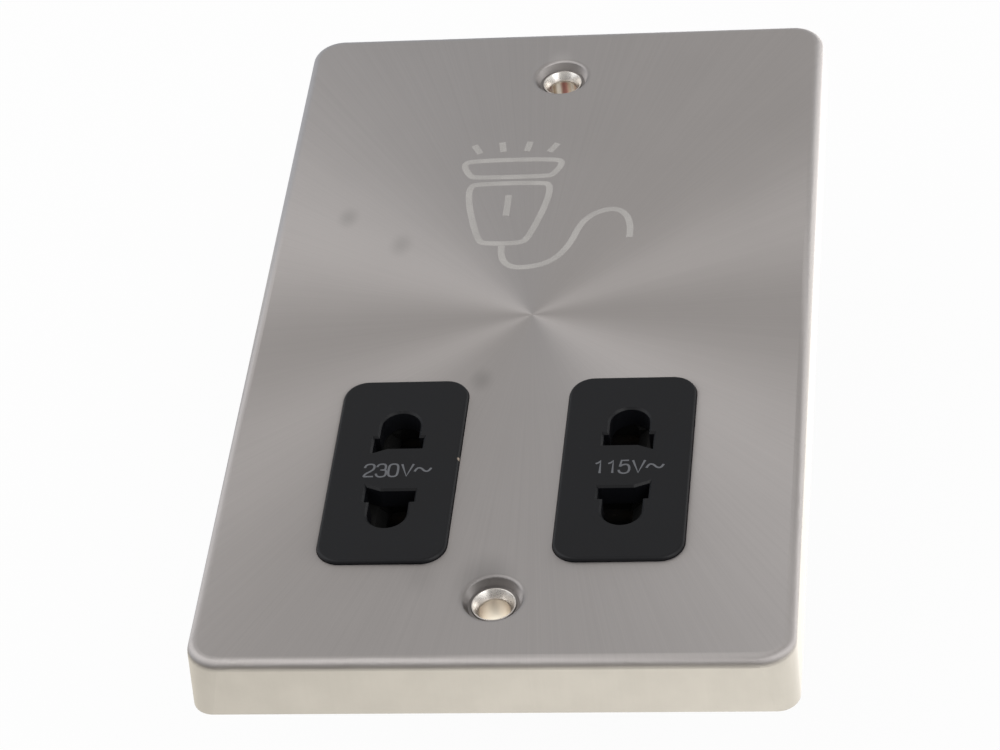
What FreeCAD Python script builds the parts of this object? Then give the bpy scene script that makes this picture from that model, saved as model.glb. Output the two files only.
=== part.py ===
import FreeCAD, Part
import math
import os

# Shaver socket with two voltages: a pressed steel wall plate, two socket inserts, the interlock that
# lets one outlet be used at a time, the contacts, the mains terminals and the isolating transformer.
# Millimetres. +Z points out of the wall and +Y to the plate's top edge. The origin is the middle of
# the plate on the wall plane, where the rim of the plate's skirt meets the wall.

# Front plate, a pressed tray whose skirt leans out towards the wall
plate_width = 86.0
plate_height = 146.0
plate_depth = 10.0
plate_gauge = 1.2
plate_corner_radius = 5.2
plate_rim_radius = 3.2
plate_edge_radius = 1.6
skirt_flare = 0.2

# Wall fixings: a pressed dimple and a rolled eyelet at each hole
fixing_inset = 12.7
fixing_bore = 4.5
eyelet_wall = 0.55
eyelet_head_radius = 3.2
eyelet_rim = 0.25
eyelet_countersink = 0.8
eyelet_countersink_depth = 1.3
eyelet_foot_radius = 3.5
eyelet_foot_thickness = 0.4
eyelet_fit = 0.06
dimple_depth = 1.5
dimple_margin = 0.5
dimple_lean = 0.7
dimple_blend = 0.6

# Socket inserts
insert_width = 18.9
insert_height = 38.5
insert_corner_radius = 3.6
insert_pitch = 34.1
insert_to_fixing = 6.95
insert_proud = 0.6
insert_edge_radius = 0.5
insert_flange = 1.4
insert_flange_thickness = 1.6
insert_fit = 0.1

# Plug apertures, measured from the middle of an insert
pin_hole_radius = 2.95
pin_hole_offset = 9.25
slot_width = 7.4
slot_inner = 4.5
slot_outer = 6.8
notch_depth = 0.9
notch_run = 2.2
aperture_chamfer = 0.3

# Mounting frame, the moulding inside the plate
frame_gap = 0.3
frame_wall = 1.6
frame_setback = 0.5
frame_fit = 0.2
fixing_boss_wall = 1.3
screw_boss_height = 3.0
screw_boss_radius = 2.4
core_post_radius = 3.4

# Interlock shutter
shutter_thickness = 2.0
shutter_gap = 0.2
shutter_travel = 3.0
shutter_margin = 0.6
shutter_border = 2.0
shutter_ramp = 1.4
window_clearance = 0.2
window_corner_radius = 1.0

# Socket block, which carries the contacts and the mains terminals
block_rim = 0.9
block_depth = 14.0
block_floor = 2.0
block_corner_radius = 3.0
channel_width = 9.2
block_wall = 1.8
shroud_depth = 12.0
shroud_length = 14.5
shroud_width = 44.0
shroud_corner_radius = 2.0

# Contacts, folded from one gauge of strip
contact_gauge = 0.6
contact_width = 6.0
contact_foot = 5.0
contact_grip = 11.0
contact_top = 14.0
contact_mouth = 0.5
contact_bend = 1.4
contact_clearance = 0.3
tail_height = 4.5
tail_end = 2.2

# Mains terminals
terminal_pitch = 14.0
terminal_width = 7.0
terminal_length = 9.0
terminal_height = 8.5
terminal_bore_radius = 1.7
terminal_fit = 0.15
terminal_recess = 1.5
wire_entry_radius = 2.0

# Earth strap
strap_width = 5.0
strap_gauge = 0.6
strap_foot = 5.5
strap_clearance = 0.5

# Transformer with a core of stacked E and I laminations
core_width = 48.0
core_stack = 19.0
core_leg = 8.0
core_setback = 14.2
core_hole_radius = 1.7
bobbin_wall = 1.0
bobbin_flange = 1.2
bobbin_fit = 0.15
winding_build = 6.2
winding_clearance = 0.65
winding_corner_radius = 3.5
winding_gap = 0.1
tag_radius = 0.5
tag_length = 5.5
tag_pitch = 5.0
tag_standoff = 5.0

# Thermal cut-out on the core's top yoke
cutout_width = 12.0
cutout_thickness = 4.0
cutout_height = 8.0
cutout_offset = 14.0
cutout_edge_radius = 0.8

# Rear cover
cover_wall = 2.0
cover_depth = 40.0
cover_gap = 0.4
cover_to_fixing = 7.3
cover_side_space = 3.2
cover_top_space = 6.5
cover_low_space = 14.45
cover_corner_radius = 4.0
cover_edge_radius = 1.6
vent_width = 1.8
vent_pitch = 5.5
vent_length = 17.0
side_vents = 6
back_vents = 8

# Screws
ear_thickness = 2.0
ear_radius = 2.9
ear_inset = 14.0
screw_radius = 1.45
screw_head_radius = 2.5
screw_head_height = 1.8
screw_head_clearance = 0.1
screw_bite = 1.2
screw_fit = 0.06
screw_slot_width = 0.7
screw_slot_depth = 0.8
core_screw_bite = 8.0

# Leads
mains_lead_radius = 1.1
output_lead_radius = 0.9
output_lead_pitch = 3.2
lead_bend = 2.8
bend_share = 0.45
lead_entry = 2.0
lead_clearance = 0.5

# Working tolerance for picking edges by height
near = 0.001

# Heights along Z
plate_inside = plate_depth - plate_gauge
web_back = plate_inside - insert_flange_thickness
insert_front = plate_depth + insert_proud
dimple_floor = plate_depth - dimple_depth
dimple_back = dimple_floor - plate_gauge
eyelet_top = dimple_floor + eyelet_rim
shutter_floor = web_back - shutter_thickness - 2 * shutter_gap
block_back = -block_depth
well_floor = block_back + block_floor
shroud_back = block_back - shroud_depth
terminal_back = shroud_back + terminal_recess
terminal_front = terminal_back + terminal_height
terminal_middle = terminal_back + terminal_height / 2
core_front = web_back - core_setback
core_back = core_front - core_stack
core_middle = core_front - core_stack / 2
cover_back = -cover_depth
ear_front = web_back - screw_boss_height
ear_back = ear_front - ear_thickness

# Places in plan
fixing_pitch = plate_height - 2 * fixing_inset
fixing_places = (fixing_pitch / 2, -fixing_pitch / 2)
insert_y = insert_to_fixing + insert_height / 2 - fixing_pitch / 2
outlet_places = (-insert_pitch / 2, insert_pitch / 2)
opening_half_x = insert_pitch / 2 + insert_width / 2 + insert_flange + frame_fit
opening_half_y = insert_height / 2 + insert_flange + frame_fit
block_half_x = opening_half_x + block_rim
block_half_y = opening_half_y + block_rim
block_top = insert_y + block_half_y
frame_inset = skirt_flare + plate_gauge + frame_gap

# Fixing eyelets: a funnel whose outer cone seats in the dimple's floor
eyelet_tube = fixing_bore / 2 + eyelet_wall
eyelet_cone = (eyelet_head_radius - eyelet_tube) * eyelet_countersink_depth / eyelet_countersink
dimple_radius = eyelet_head_radius + dimple_margin
fixing_boss_radius = dimple_radius + plate_gauge + eyelet_fit + fixing_boss_wall

# Shutter sizes
window_half_x = slot_width / 2 + window_clearance
window_inner = slot_inner - notch_depth - window_clearance
window_outer = pin_hole_offset + pin_hole_radius + window_clearance
window_middle = (window_inner + window_outer) / 2
window_half_y = (window_outer - window_inner) / 2
window_x = insert_pitch / 2 - shutter_travel
shutter_half_x = insert_pitch / 2 + pin_hole_radius + shutter_margin + shutter_travel
shutter_half_y = window_outer + shutter_border
pocket_half_x = shutter_half_x + shutter_travel + shutter_gap
pocket_half_y = shutter_half_y + shutter_gap

# Contact wells, one behind each aperture
contact_inner = window_inner
contact_outer = window_outer + contact_gauge
well_half_x = slot_width / 2 + contact_clearance
well_inner = contact_inner - contact_clearance
well_outer = contact_outer + contact_clearance
channel_half = channel_width / 2
tail_middle = well_floor + contact_gauge + tail_height / 2

# Mains terminals, in the order live, neutral, earth
terminal_y = block_top - shroud_length / 2
terminal_places = (-terminal_pitch, 0.0, terminal_pitch)
terminal_end = terminal_y + terminal_length / 2
strap_x = block_half_x + strap_clearance

# Transformer and its cover
cover_top = fixing_pitch / 2 - cover_to_fixing
cover_bottom = block_top + cover_gap
cover_half_x = core_width / 2 + cover_side_space + cover_wall
cover_half_y = (cover_top - cover_bottom) / 2
cover_y = (cover_top + cover_bottom) / 2
core_top = cover_top - cover_wall - cover_top_space
core_bottom = cover_bottom + cover_wall + cover_low_space
core_y = (core_top + core_bottom) / 2
window_low = core_bottom + core_leg
window_high = core_top - core_leg
bobbin_half_x = core_leg + bobbin_fit
bobbin_half_z = core_stack / 2 + bobbin_fit
winding_in_x = bobbin_half_x + bobbin_wall
winding_in_z = bobbin_half_z + bobbin_wall
flange_half_x = winding_in_x + winding_build
flange_half_z = winding_in_z + winding_build
window_half = flange_half_x + winding_clearance
bobbin_low = window_low + bobbin_fit
bobbin_high = window_high - bobbin_fit
bobbin_middle = (bobbin_low + bobbin_high) / 2
core_hole_places = [
    (s * (window_half + core_width / 2) / 2, y)
    for s in (-1, 1)
    for y in (core_bottom + core_leg / 2, core_top - core_leg / 2)
]
output_tag_places = (-tag_pitch, 0.0, tag_pitch)
mains_tag_places = (-tag_pitch, tag_pitch)
output_tag_z = core_front + tag_standoff
mains_tag_z = core_back - tag_standoff
output_tag_y = bobbin_low - tag_length
mains_tag_y = bobbin_high + tag_length
side_lane = core_width / 2 + cover_side_space / 2
low_lane = (cover_bottom + cover_wall + core_bottom) / 2
top_lane = core_top + cutout_thickness / 2

# Ear places, in pairs left and right
ear_reach = screw_head_radius + screw_head_clearance
block_ear_places = [(s * (block_half_x + ear_reach), insert_y - ear_inset) for s in (-1, 1)]
cover_ear_places = [
    (s * (cover_half_x + ear_reach), y)
    for s in (-1, 1)
    for y in (cover_bottom + ear_inset, cover_top - ear_inset)
]
ear_places = block_ear_places + cover_ear_places


def vec(x, y, z):
    return FreeCAD.Vector(x, y, z)


def span(x0, x1, y0, y1, z0, z1):
    """Rectangular block between two corners."""
    return Part.makeBox(x1 - x0, y1 - y0, z1 - z0, vec(x0, y0, z0))


def around(cx, cy, half_x, half_y, z0, z1):
    """Rectangular block about a middle point in plan."""
    return span(cx - half_x, cx + half_x, cy - half_y, cy + half_y, z0, z1)


def post(radius, x, y, z0, z1):
    """Round post along Z."""
    return Part.makeCylinder(radius, z1 - z0, vec(x, y, z0))


def along_y(radius, x, y0, y1, z):
    """Round bar along Y."""
    return Part.makeCylinder(radius, y1 - y0, vec(x, y0, z), vec(0, 1, 0))


def rounded_wire(half_x, half_y, radius, z, cx=0.0, cy=0.0):
    """Rounded rectangle at one height."""
    arcs = []
    for sx, sy, start in ((1, 1, 0), (-1, 1, 90), (-1, -1, 180), (1, -1, 270)):
        middle = vec(cx + sx * (half_x - radius), cy + sy * (half_y - radius), z)
        arcs.append(Part.makeCircle(radius, middle, vec(0, 0, 1), start, start + 90))
    edges = []
    for arc, following in zip(arcs, arcs[1:] + arcs[:1]):
        edges.append(arc)
        edges.append(Part.makeLine(arc.Vertexes[-1].Point, following.Vertexes[0].Point))
    return Part.Wire(edges)


def rounded_block(half_x, half_y, radius, z0, z1, cx=0.0, cy=0.0):
    """Block with rounded upright corners."""
    return Part.Face(rounded_wire(half_x, half_y, radius, z0, cx, cy)).extrude(vec(0, 0, z1 - z0))


def rounded_sleeve(half_x, half_z, radius, y0, y1):
    """Block with rounded corners, extruded along Y about the middle of the core."""
    body = rounded_block(half_x, half_z, radius, 0, y1 - y0)
    body.rotate(vec(0, 0, 0), vec(1, 0, 0), -90)
    body.translate(vec(0, y0, core_middle))
    return body


def edges_at(shape, z):
    """Edges that lie flat at one height."""
    boxes = [(e, e.BoundBox) for e in shape.Edges]
    return [e for e, box in boxes if abs(box.ZMin - z) < near and abs(box.ZMax - z) < near]


def turned(profile, x, y):
    """Solid of revolution about Z from points of radius and height."""
    points = [vec(r, 0, z) for r, z in profile]
    body = Part.Face(Part.makePolygon(points + points[:1])).revolve(vec(0, 0, 0), vec(0, 0, 1), 360)
    body.translate(vec(x, y, 0))
    return body


def cut_all(body, tools):
    for tool in tools:
        body = body.cut(tool)
    return body


def fuse_all(body, additions):
    for addition in additions:
        body = body.fuse(addition)
    return body.removeSplitter()


def screw(x, y, seat, length, head_radius, head_height):
    """Slotted screw driven towards +Z, with its head under the seat."""
    low = seat - head_height
    body = turned(
        [(0, low), (head_radius, low), (head_radius, seat), (screw_radius, seat),
         (screw_radius, seat + length), (0, seat + length)],
        x, y)
    slot = around(x, y, head_radius, screw_slot_width / 2, low, low + screw_slot_depth)
    return body.cut(slot)


def lead(points, radius):
    """Round lead along straight runs, with a tangent arc at each turn."""
    corners = [vec(*p) for p in points]
    edges = []
    start = corners[0]
    for before, corner, after in zip(corners, corners[1:], corners[2:]):
        back = (before - corner).normalize()
        ahead = (after - corner).normalize()
        half_turn = (math.pi - back.getAngle(ahead)) / 2
        shorter = min((before - corner).Length, (after - corner).Length)
        bend = min(lead_bend, bend_share * shorter / math.tan(half_turn))
        reach = bend * math.tan(half_turn)
        first = corner + back * reach
        last = corner + ahead * reach
        inward = (back + ahead).normalize()
        crown = corner + inward * (bend / math.cos(half_turn) - bend)
        edges.append(Part.makeLine(start, first))
        edges.append(Part.Arc(first, crown, last).toShape())
        start = last
    edges.append(Part.makeLine(start, corners[-1]))
    path = Part.Wire(edges)
    ring = Part.Wire([Part.makeCircle(radius, corners[0], corners[1] - corners[0])])
    return path.makePipeShell([ring], True, True)


def tray(inset, top, edge_radius):
    """Leaning tray body, set in from the plate's outside, with corners that round off towards the face."""
    share = top / plate_depth
    lean = inset + skirt_flare * share
    corner = plate_rim_radius + (plate_corner_radius - plate_rim_radius) * share
    rim = rounded_wire(plate_width / 2 - inset, plate_height / 2 - inset, plate_rim_radius - inset, 0)
    face = rounded_wire(plate_width / 2 - lean, plate_height / 2 - lean, corner - inset, top)
    body = Part.makeLoft([rim, face], True, True)
    return body.makeFillet(edge_radius, edges_at(body, top))


def dimple(y, floor, grow):
    """Sloping hollow pressed into the plate round a fixing hole."""
    low = dimple_radius + grow
    return Part.makeCone(low, low + dimple_lean, dimple_depth, vec(0, y, floor))


def eyelet_hole(y):
    """Hole through a dimple's floor, coned to take the eyelet's funnel."""
    tube = eyelet_tube + eyelet_fit
    head = eyelet_head_radius + eyelet_fit
    cone = Part.makeCone(tube, head, eyelet_cone, vec(0, y, dimple_floor - eyelet_cone))
    return cone.fuse(post(tube, 0, y, dimple_back, dimple_floor))


def front_plate():
    plate = tray(0, plate_depth, plate_edge_radius)
    plate = plate.cut(tray(plate_gauge, plate_inside, plate_edge_radius - plate_gauge))
    for y in fixing_places:
        plate = plate.fuse(dimple(y, dimple_back, plate_gauge))
        plate = plate.cut(dimple(y, dimple_floor, 0))
    rims = [e for e in edges_at(plate, plate_depth) if isinstance(e.Curve, Part.Circle)]
    rims = [e for e in rims if abs(e.Curve.Radius - dimple_radius - dimple_lean) < near]
    plate = plate.makeFillet(dimple_blend, rims)
    for y in fixing_places:
        plate = plate.cut(eyelet_hole(y))
    for x in outlet_places:
        plate = plate.cut(rounded_block(
            insert_width / 2 + insert_fit, insert_height / 2 + insert_fit,
            insert_corner_radius + insert_fit, web_back, insert_front, x, insert_y))
    return plate


def fixing_eyelet(y):
    bore = fixing_bore / 2
    return turned(
        [(bore, 0), (eyelet_foot_radius, 0), (eyelet_foot_radius, eyelet_foot_thickness),
         (eyelet_tube, eyelet_foot_thickness), (eyelet_tube, dimple_floor - eyelet_cone),
         (eyelet_head_radius, dimple_floor), (eyelet_head_radius, eyelet_top),
         (bore + eyelet_countersink, eyelet_top), (bore, eyelet_top - eyelet_countersink_depth)],
        0, y)


def aperture_wire(side, notch, x):
    """Outline of one aperture: round pin hole, blade slot and slanted notch."""
    half = slot_width / 2

    def at(px, py):
        return vec(x - notch * px, insert_y + side * py, web_back)

    run = [at(half, slot_outer), at(half, slot_inner), at(notch_run - half, slot_inner),
           at(-half, slot_inner - notch_depth), at(-half, slot_outer), at(-pin_hole_radius, slot_outer),
           at(-pin_hole_radius, pin_hole_offset)]
    crown = at(0, pin_hole_offset + pin_hole_radius)
    last = at(pin_hole_radius, pin_hole_offset)
    shoulder = at(pin_hole_radius, slot_outer)
    edges = [Part.makeLine(a, b) for a, b in zip(run, run[1:])]
    edges.append(Part.Arc(run[-1], crown, last).toShape())
    edges.append(Part.makeLine(last, shoulder))
    edges.append(Part.makeLine(shoulder, run[0]))
    return Part.Wire(edges)


def socket_insert(x, notch):
    """Moulded insert; notch is the side of the slanted notches, -1 left or 1 right."""
    face = rounded_block(
        insert_width / 2, insert_height / 2, insert_corner_radius, plate_inside, insert_front, x, insert_y)
    face = face.makeFillet(insert_edge_radius, edges_at(face, insert_front))
    flange = rounded_block(
        insert_width / 2 + insert_flange, insert_height / 2 + insert_flange,
        insert_corner_radius, web_back, plate_inside, x, insert_y)
    body = face.fuse(flange).removeSplitter()
    for side in (1, -1):
        hole = Part.Face(aperture_wire(side, notch, x)).extrude(vec(0, 0, insert_front - web_back))
        body = body.cut(hole)
    rims = [e for e in edges_at(body, insert_front) if inside_insert(e, x)]
    return body.makeChamfer(aperture_chamfer, rims)


def inside_insert(edge, x):
    """True for an edge of an aperture, false for the insert's own outline."""
    return abs(edge.CenterOfMass.x - x) < slot_width and abs(edge.CenterOfMass.y - insert_y) < window_outer


def interlock_shutter():
    low = shutter_floor + shutter_gap
    high = low + shutter_thickness
    plate = rounded_block(shutter_half_x, shutter_half_y, window_corner_radius, low, high, 0, insert_y)
    for outward in (-1, 1):
        x = outward * window_x
        ramp_foot = x + outward * window_half_x
        ramp = Part.Face(Part.makePolygon([
            vec(ramp_foot, 0, high), vec(ramp_foot + outward * shutter_ramp, 0, high),
            vec(ramp_foot, 0, high - shutter_ramp), vec(ramp_foot, 0, high)]))
        for side in (1, -1):
            y = insert_y + side * window_middle
            plate = plate.cut(rounded_block(
                window_half_x, window_half_y, window_corner_radius, low, high, x, y))
            wedge = ramp.extrude(vec(0, 2 * (window_half_y - window_corner_radius), 0))
            wedge.translate(vec(0, y - window_half_y + window_corner_radius, 0))
            plate = plate.cut(wedge)
    return plate


def ear(x, y, carrier_x):
    """Screw ear that stands out of a moulding's side wall."""
    tab = post(ear_radius, x, y, ear_back, ear_front)
    inner = min(x, carrier_x)
    outer = max(x, carrier_x)
    return tab.fuse(span(inner, outer, y - ear_radius, y + ear_radius, ear_back, ear_front))


def mounting_frame():
    half_x = plate_width / 2 - frame_inset
    half_y = plate_height / 2 - frame_inset
    radius = plate_corner_radius - frame_inset
    body = rounded_block(half_x, half_y, radius, frame_setback, plate_inside)
    body = body.makeChamfer(plate_edge_radius - plate_gauge, edges_at(body, plate_inside))
    body = body.cut(rounded_block(
        half_x - frame_wall, half_y - frame_wall, radius - frame_wall, frame_setback, web_back))
    bosses = [post(fixing_boss_radius, 0, y, eyelet_foot_thickness, web_back) for y in fixing_places]
    bosses += [post(screw_boss_radius, x, y, ear_front, web_back) for x, y in ear_places]
    bosses += [post(core_post_radius, x, y, core_front, web_back) for x, y in core_hole_places]
    body = fuse_all(body, bosses)
    cuts = [around(0, insert_y, opening_half_x, opening_half_y, web_back, plate_inside)]
    cuts += [post(eyelet_tube + eyelet_fit, 0, y, 0, plate_inside) for y in fixing_places]
    cuts += [dimple(y, dimple_back, plate_gauge + eyelet_fit) for y in fixing_places]
    cuts += [post(screw_radius + screw_fit, x, y, ear_front, web_back + screw_bite) for x, y in ear_places]
    cuts += [post(screw_radius + screw_fit, x, y, core_front, core_front + core_screw_bite)
             for x, y in core_hole_places]
    cuts.append(span(
        strap_x - strap_clearance, strap_x + strap_gauge + strap_foot + strap_clearance,
        terminal_y - strap_width / 2 - strap_clearance, terminal_y + strap_width / 2 + strap_clearance,
        web_back, plate_inside))
    return cut_all(body, cuts)


def socket_block():
    body = rounded_block(block_half_x, block_half_y, block_corner_radius, block_back, web_back, 0, insert_y)
    shroud = rounded_block(
        shroud_width / 2, shroud_length / 2, shroud_corner_radius, shroud_back, block_back, 0, terminal_y)
    ears = [ear(x, y, math.copysign(block_half_x - block_rim, x)) for x, y in block_ear_places]
    body = fuse_all(body, [shroud] + ears)
    cuts = [around(0, insert_y, pocket_half_x, pocket_half_y, shutter_floor, web_back)]
    cuts.append(post(fixing_boss_radius + frame_fit, 0, fixing_places[1], 0, web_back))
    well_half_y = (well_outer - well_inner) / 2
    for x in outlet_places:
        for side in (1, -1):
            middle = insert_y + side * (well_inner + well_outer) / 2
            cuts.append(around(x, middle, well_half_x, well_half_y, well_floor, shutter_floor))
            slit = insert_y + side * (contact_inner + contact_gauge / 2)
            slit_half = contact_gauge / 2 + contact_clearance
            cuts.append(around(x / 2, slit, insert_pitch / 4, slit_half, well_floor, shutter_floor))
    cuts.append(span(-channel_half, channel_half, insert_y - well_inner - contact_gauge - contact_clearance,
                     block_top, well_floor, shutter_floor))
    for x in terminal_places:
        cuts.append(around(
            x, terminal_y, terminal_width / 2 + terminal_fit, terminal_length / 2 + terminal_fit,
            shroud_back, terminal_front))
        cuts.append(along_y(
            wire_entry_radius, x, terminal_y - shroud_length / 2, terminal_y, terminal_middle))
    for x in terminal_places[:2]:
        cuts.append(along_y(
            mains_lead_radius + lead_clearance, x, terminal_y, block_top, terminal_middle))
    cuts.append(span(
        terminal_pitch, shroud_width / 2, terminal_y - strap_width / 2 - terminal_fit,
        terminal_y + strap_width / 2 + terminal_fit, shroud_back,
        terminal_middle + strap_gauge / 2 + terminal_fit))
    cuts += [post(screw_radius + screw_fit, x, y, ear_back, ear_front) for x, y in block_ear_places]
    return cut_all(body, cuts + coring())


def coring():
    """Pockets that keep the block's walls even, open to the front under the shutter."""
    pockets = []
    inner_x = block_half_x - block_wall
    inner_y = block_half_y - block_wall
    well_end = insert_pitch / 2 + well_half_x + block_wall
    well_start = insert_pitch / 2 - well_half_x - block_wall
    lane_wall = channel_half + block_wall
    slit_low = contact_inner - contact_clearance - block_wall
    slit_high = contact_inner + contact_gauge + contact_clearance + block_wall
    for s in (-1, 1):
        pockets.append(around(
            s * (well_end + inner_x) / 2, insert_y, (inner_x - well_end) / 2, inner_y,
            well_floor, shutter_floor))
        pockets.append(around(
            s * (lane_wall + well_start) / 2, insert_y, (well_start - lane_wall) / 2, slit_low,
            well_floor, shutter_floor))
        for side in (-1, 1):
            pockets.append(around(
                s * (lane_wall + well_start) / 2, insert_y + side * (slit_high + inner_y) / 2,
                (well_start - lane_wall) / 2, (inner_y - slit_high) / 2, well_floor, shutter_floor))
            pockets.append(around(
                s * insert_pitch / 2, insert_y + side * (well_outer + block_wall + inner_y) / 2,
                well_half_x, (inner_y - well_outer - block_wall) / 2, well_floor, shutter_floor))
    return pockets


def contact_clip(x, side):
    """Folded clip whose two leaves grip a pin or a blade."""
    def at(offset, rise):
        return vec(x - contact_width / 2, insert_y + side * offset, well_floor + rise)

    gauge = contact_gauge
    inner = contact_inner
    outer = contact_outer
    outside = [
        (inner + contact_mouth, contact_top), (inner + contact_bend, contact_grip), (inner, contact_foot),
        (inner, 0), (outer, 0), (outer, contact_foot), (outer - contact_bend, contact_grip),
        (outer - contact_mouth, contact_top)]
    inside = [
        (outer - contact_mouth - gauge, contact_top), (outer - contact_bend - gauge, contact_grip),
        (outer - gauge, contact_foot), (outer - gauge, gauge), (inner + gauge, gauge),
        (inner + gauge, contact_foot), (inner + contact_bend + gauge, contact_grip),
        (inner + contact_mouth + gauge, contact_top)]
    points = [at(*p) for p in outside + inside]
    return Part.Face(Part.makePolygon(points + points[:1])).extrude(vec(contact_width, 0, 0))


def contact_tail(x0, x1, side):
    """Flat tail on the clip's inner leaf, towards the lead channel."""
    near_face = insert_y + side * contact_inner
    far_face = near_face + side * contact_gauge
    return span(min(x0, x1), max(x0, x1), min(near_face, far_face), max(near_face, far_face),
                well_floor + contact_gauge, well_floor + contact_gauge + tail_height)


def outlet_contact(x):
    """Upper contact of one outlet."""
    return contact_clip(x, 1).fuse(contact_tail(x, math.copysign(tail_end, x), 1)).removeSplitter()


def common_contact_strip():
    """Lower contacts of both outlets, stamped as one strip."""
    strip = contact_tail(outlet_places[0], outlet_places[1], -1)
    return fuse_all(strip, [contact_clip(x, -1) for x in outlet_places])


def mains_terminal(x):
    body = around(x, terminal_y, terminal_width / 2, terminal_length / 2, terminal_back, terminal_front)
    wire_bore = along_y(
        terminal_bore_radius, x, terminal_y - terminal_length / 2, terminal_end, terminal_middle)
    screw_hole = post(screw_radius + screw_fit, x, terminal_y, terminal_back, terminal_middle)
    return cut_all(body, [wire_bore, screw_hole])


def terminal_screws():
    length = terminal_height / 2 - terminal_bore_radius
    return Part.makeCompound([
        screw(x, terminal_y, terminal_back, length, screw_head_radius, screw_head_height)
        for x in terminal_places])


def earth_strap():
    """Strip from the earth terminal round the block's side to the back of the plate."""
    start = terminal_pitch + terminal_width / 2
    low = terminal_middle - strap_gauge / 2
    y0 = terminal_y - strap_width / 2
    y1 = terminal_y + strap_width / 2
    flat = span(start, strap_x + strap_gauge, y0, y1, low, low + strap_gauge)
    riser = span(strap_x, strap_x + strap_gauge, y0, y1, low, plate_inside)
    foot = span(strap_x, strap_x + strap_gauge + strap_foot, y0, y1, plate_inside - strap_gauge, plate_inside)
    return fuse_all(flat, [riser, foot])


def core_e_stack():
    half = core_width / 2
    body = span(-half, half, core_bottom, window_high, core_back, core_front)
    for s in (-1, 1):
        body = body.cut(around(
            s * (core_leg + window_half) / 2, (window_low + window_high) / 2, (window_half - core_leg) / 2,
            (window_high - window_low) / 2, core_back, core_front))
    holes = [p for p in core_hole_places if p[1] < core_y]
    return cut_all(body, [post(core_hole_radius, x, y, core_back, core_front) for x, y in holes])


def core_i_stack():
    half = core_width / 2
    body = span(-half, half, window_high, core_top, core_back, core_front)
    holes = [p for p in core_hole_places if p[1] > core_y]
    return cut_all(body, [post(core_hole_radius, x, y, core_back, core_front) for x, y in holes])


def core_screws():
    length = core_stack + core_screw_bite - screw_bite
    return Part.makeCompound([
        screw(x, y, core_back, length, screw_head_radius, screw_head_height) for x, y in core_hole_places])


def bobbin():
    body = rounded_sleeve(winding_in_x, winding_in_z, bobbin_wall, bobbin_low, bobbin_high)
    flanges = [
        rounded_sleeve(flange_half_x, flange_half_z, winding_corner_radius, y, y + bobbin_flange)
        for y in (bobbin_low, bobbin_middle - bobbin_flange / 2, bobbin_high - bobbin_flange)]
    body = fuse_all(body, flanges)
    body = body.cut(around(
        0, bobbin_middle, bobbin_half_x, (bobbin_high - bobbin_low) / 2,
        core_middle - bobbin_half_z, core_middle + bobbin_half_z))
    cuts = [along_y(tag_radius + screw_fit, x, bobbin_low, bobbin_low + bobbin_flange, output_tag_z)
            for x in output_tag_places]
    cuts += [along_y(tag_radius + screw_fit, x, bobbin_high - bobbin_flange, bobbin_high, mains_tag_z)
             for x in mains_tag_places]
    return cut_all(body, cuts)


def winding(y0, y1):
    """Wound section between two flanges of the bobbin."""
    coil = rounded_sleeve(
        flange_half_x - winding_gap, flange_half_z - winding_gap, winding_corner_radius,
        y0 + winding_gap, y1 - winding_gap)
    return coil.cut(rounded_sleeve(
        winding_in_x + winding_gap, winding_in_z + winding_gap, bobbin_wall, y0, y1))


def output_tags():
    return Part.makeCompound([
        along_y(tag_radius, x, output_tag_y, bobbin_low + bobbin_flange, output_tag_z)
        for x in output_tag_places])


def mains_tags():
    return Part.makeCompound([
        along_y(tag_radius, x, bobbin_high - bobbin_flange, mains_tag_y, mains_tag_z)
        for x in mains_tag_places])


def thermal_cutout():
    body = around(
        -cutout_offset, top_lane, cutout_width / 2, cutout_thickness / 2,
        terminal_middle - cutout_height / 2, terminal_middle + cutout_height / 2)
    upper = [e for e in body.Edges if e.BoundBox.YMin > top_lane]
    return body.makeFillet(cutout_edge_radius, upper)


def live_lead():
    x = terminal_places[0]
    z = terminal_middle
    return lead([
        (x, terminal_end - lead_entry, z), (x, low_lane, z), (-side_lane, low_lane, z),
        (-side_lane, top_lane, z), (-cutout_offset - cutout_width / 2, top_lane, z)], mains_lead_radius)


def primary_lead():
    x = mains_tag_places[0]
    z = terminal_middle
    return lead([
        (-cutout_offset + cutout_width / 2, top_lane, z), (x, top_lane, z),
        (x, top_lane, mains_tag_z), (x, mains_tag_y, mains_tag_z)], mains_lead_radius)


def neutral_lead():
    x = mains_tag_places[1]
    z = terminal_middle
    return lead([
        (terminal_places[1], terminal_end - lead_entry, z), (terminal_places[1], low_lane, z),
        (side_lane, low_lane, z), (side_lane, top_lane, z), (x, top_lane, z),
        (x, top_lane, mains_tag_z), (x, mains_tag_y, mains_tag_z)], mains_lead_radius)


def output_lead(order, side):
    """Lead from a tag of the output winding to a contact tail; order is -1, 0 or 1."""
    tag_x = order * tag_pitch
    lane_x = order * output_lead_pitch
    tail_y = insert_y + side * contact_inner
    if side > 0:
        tail_y += contact_gauge
    return lead([
        (tag_x, output_tag_y, output_tag_z), (tag_x, core_bottom - output_lead_radius, output_tag_z),
        (lane_x, low_lane - output_lead_radius, tail_middle), (lane_x, tail_y, tail_middle)],
        output_lead_radius)


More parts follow.
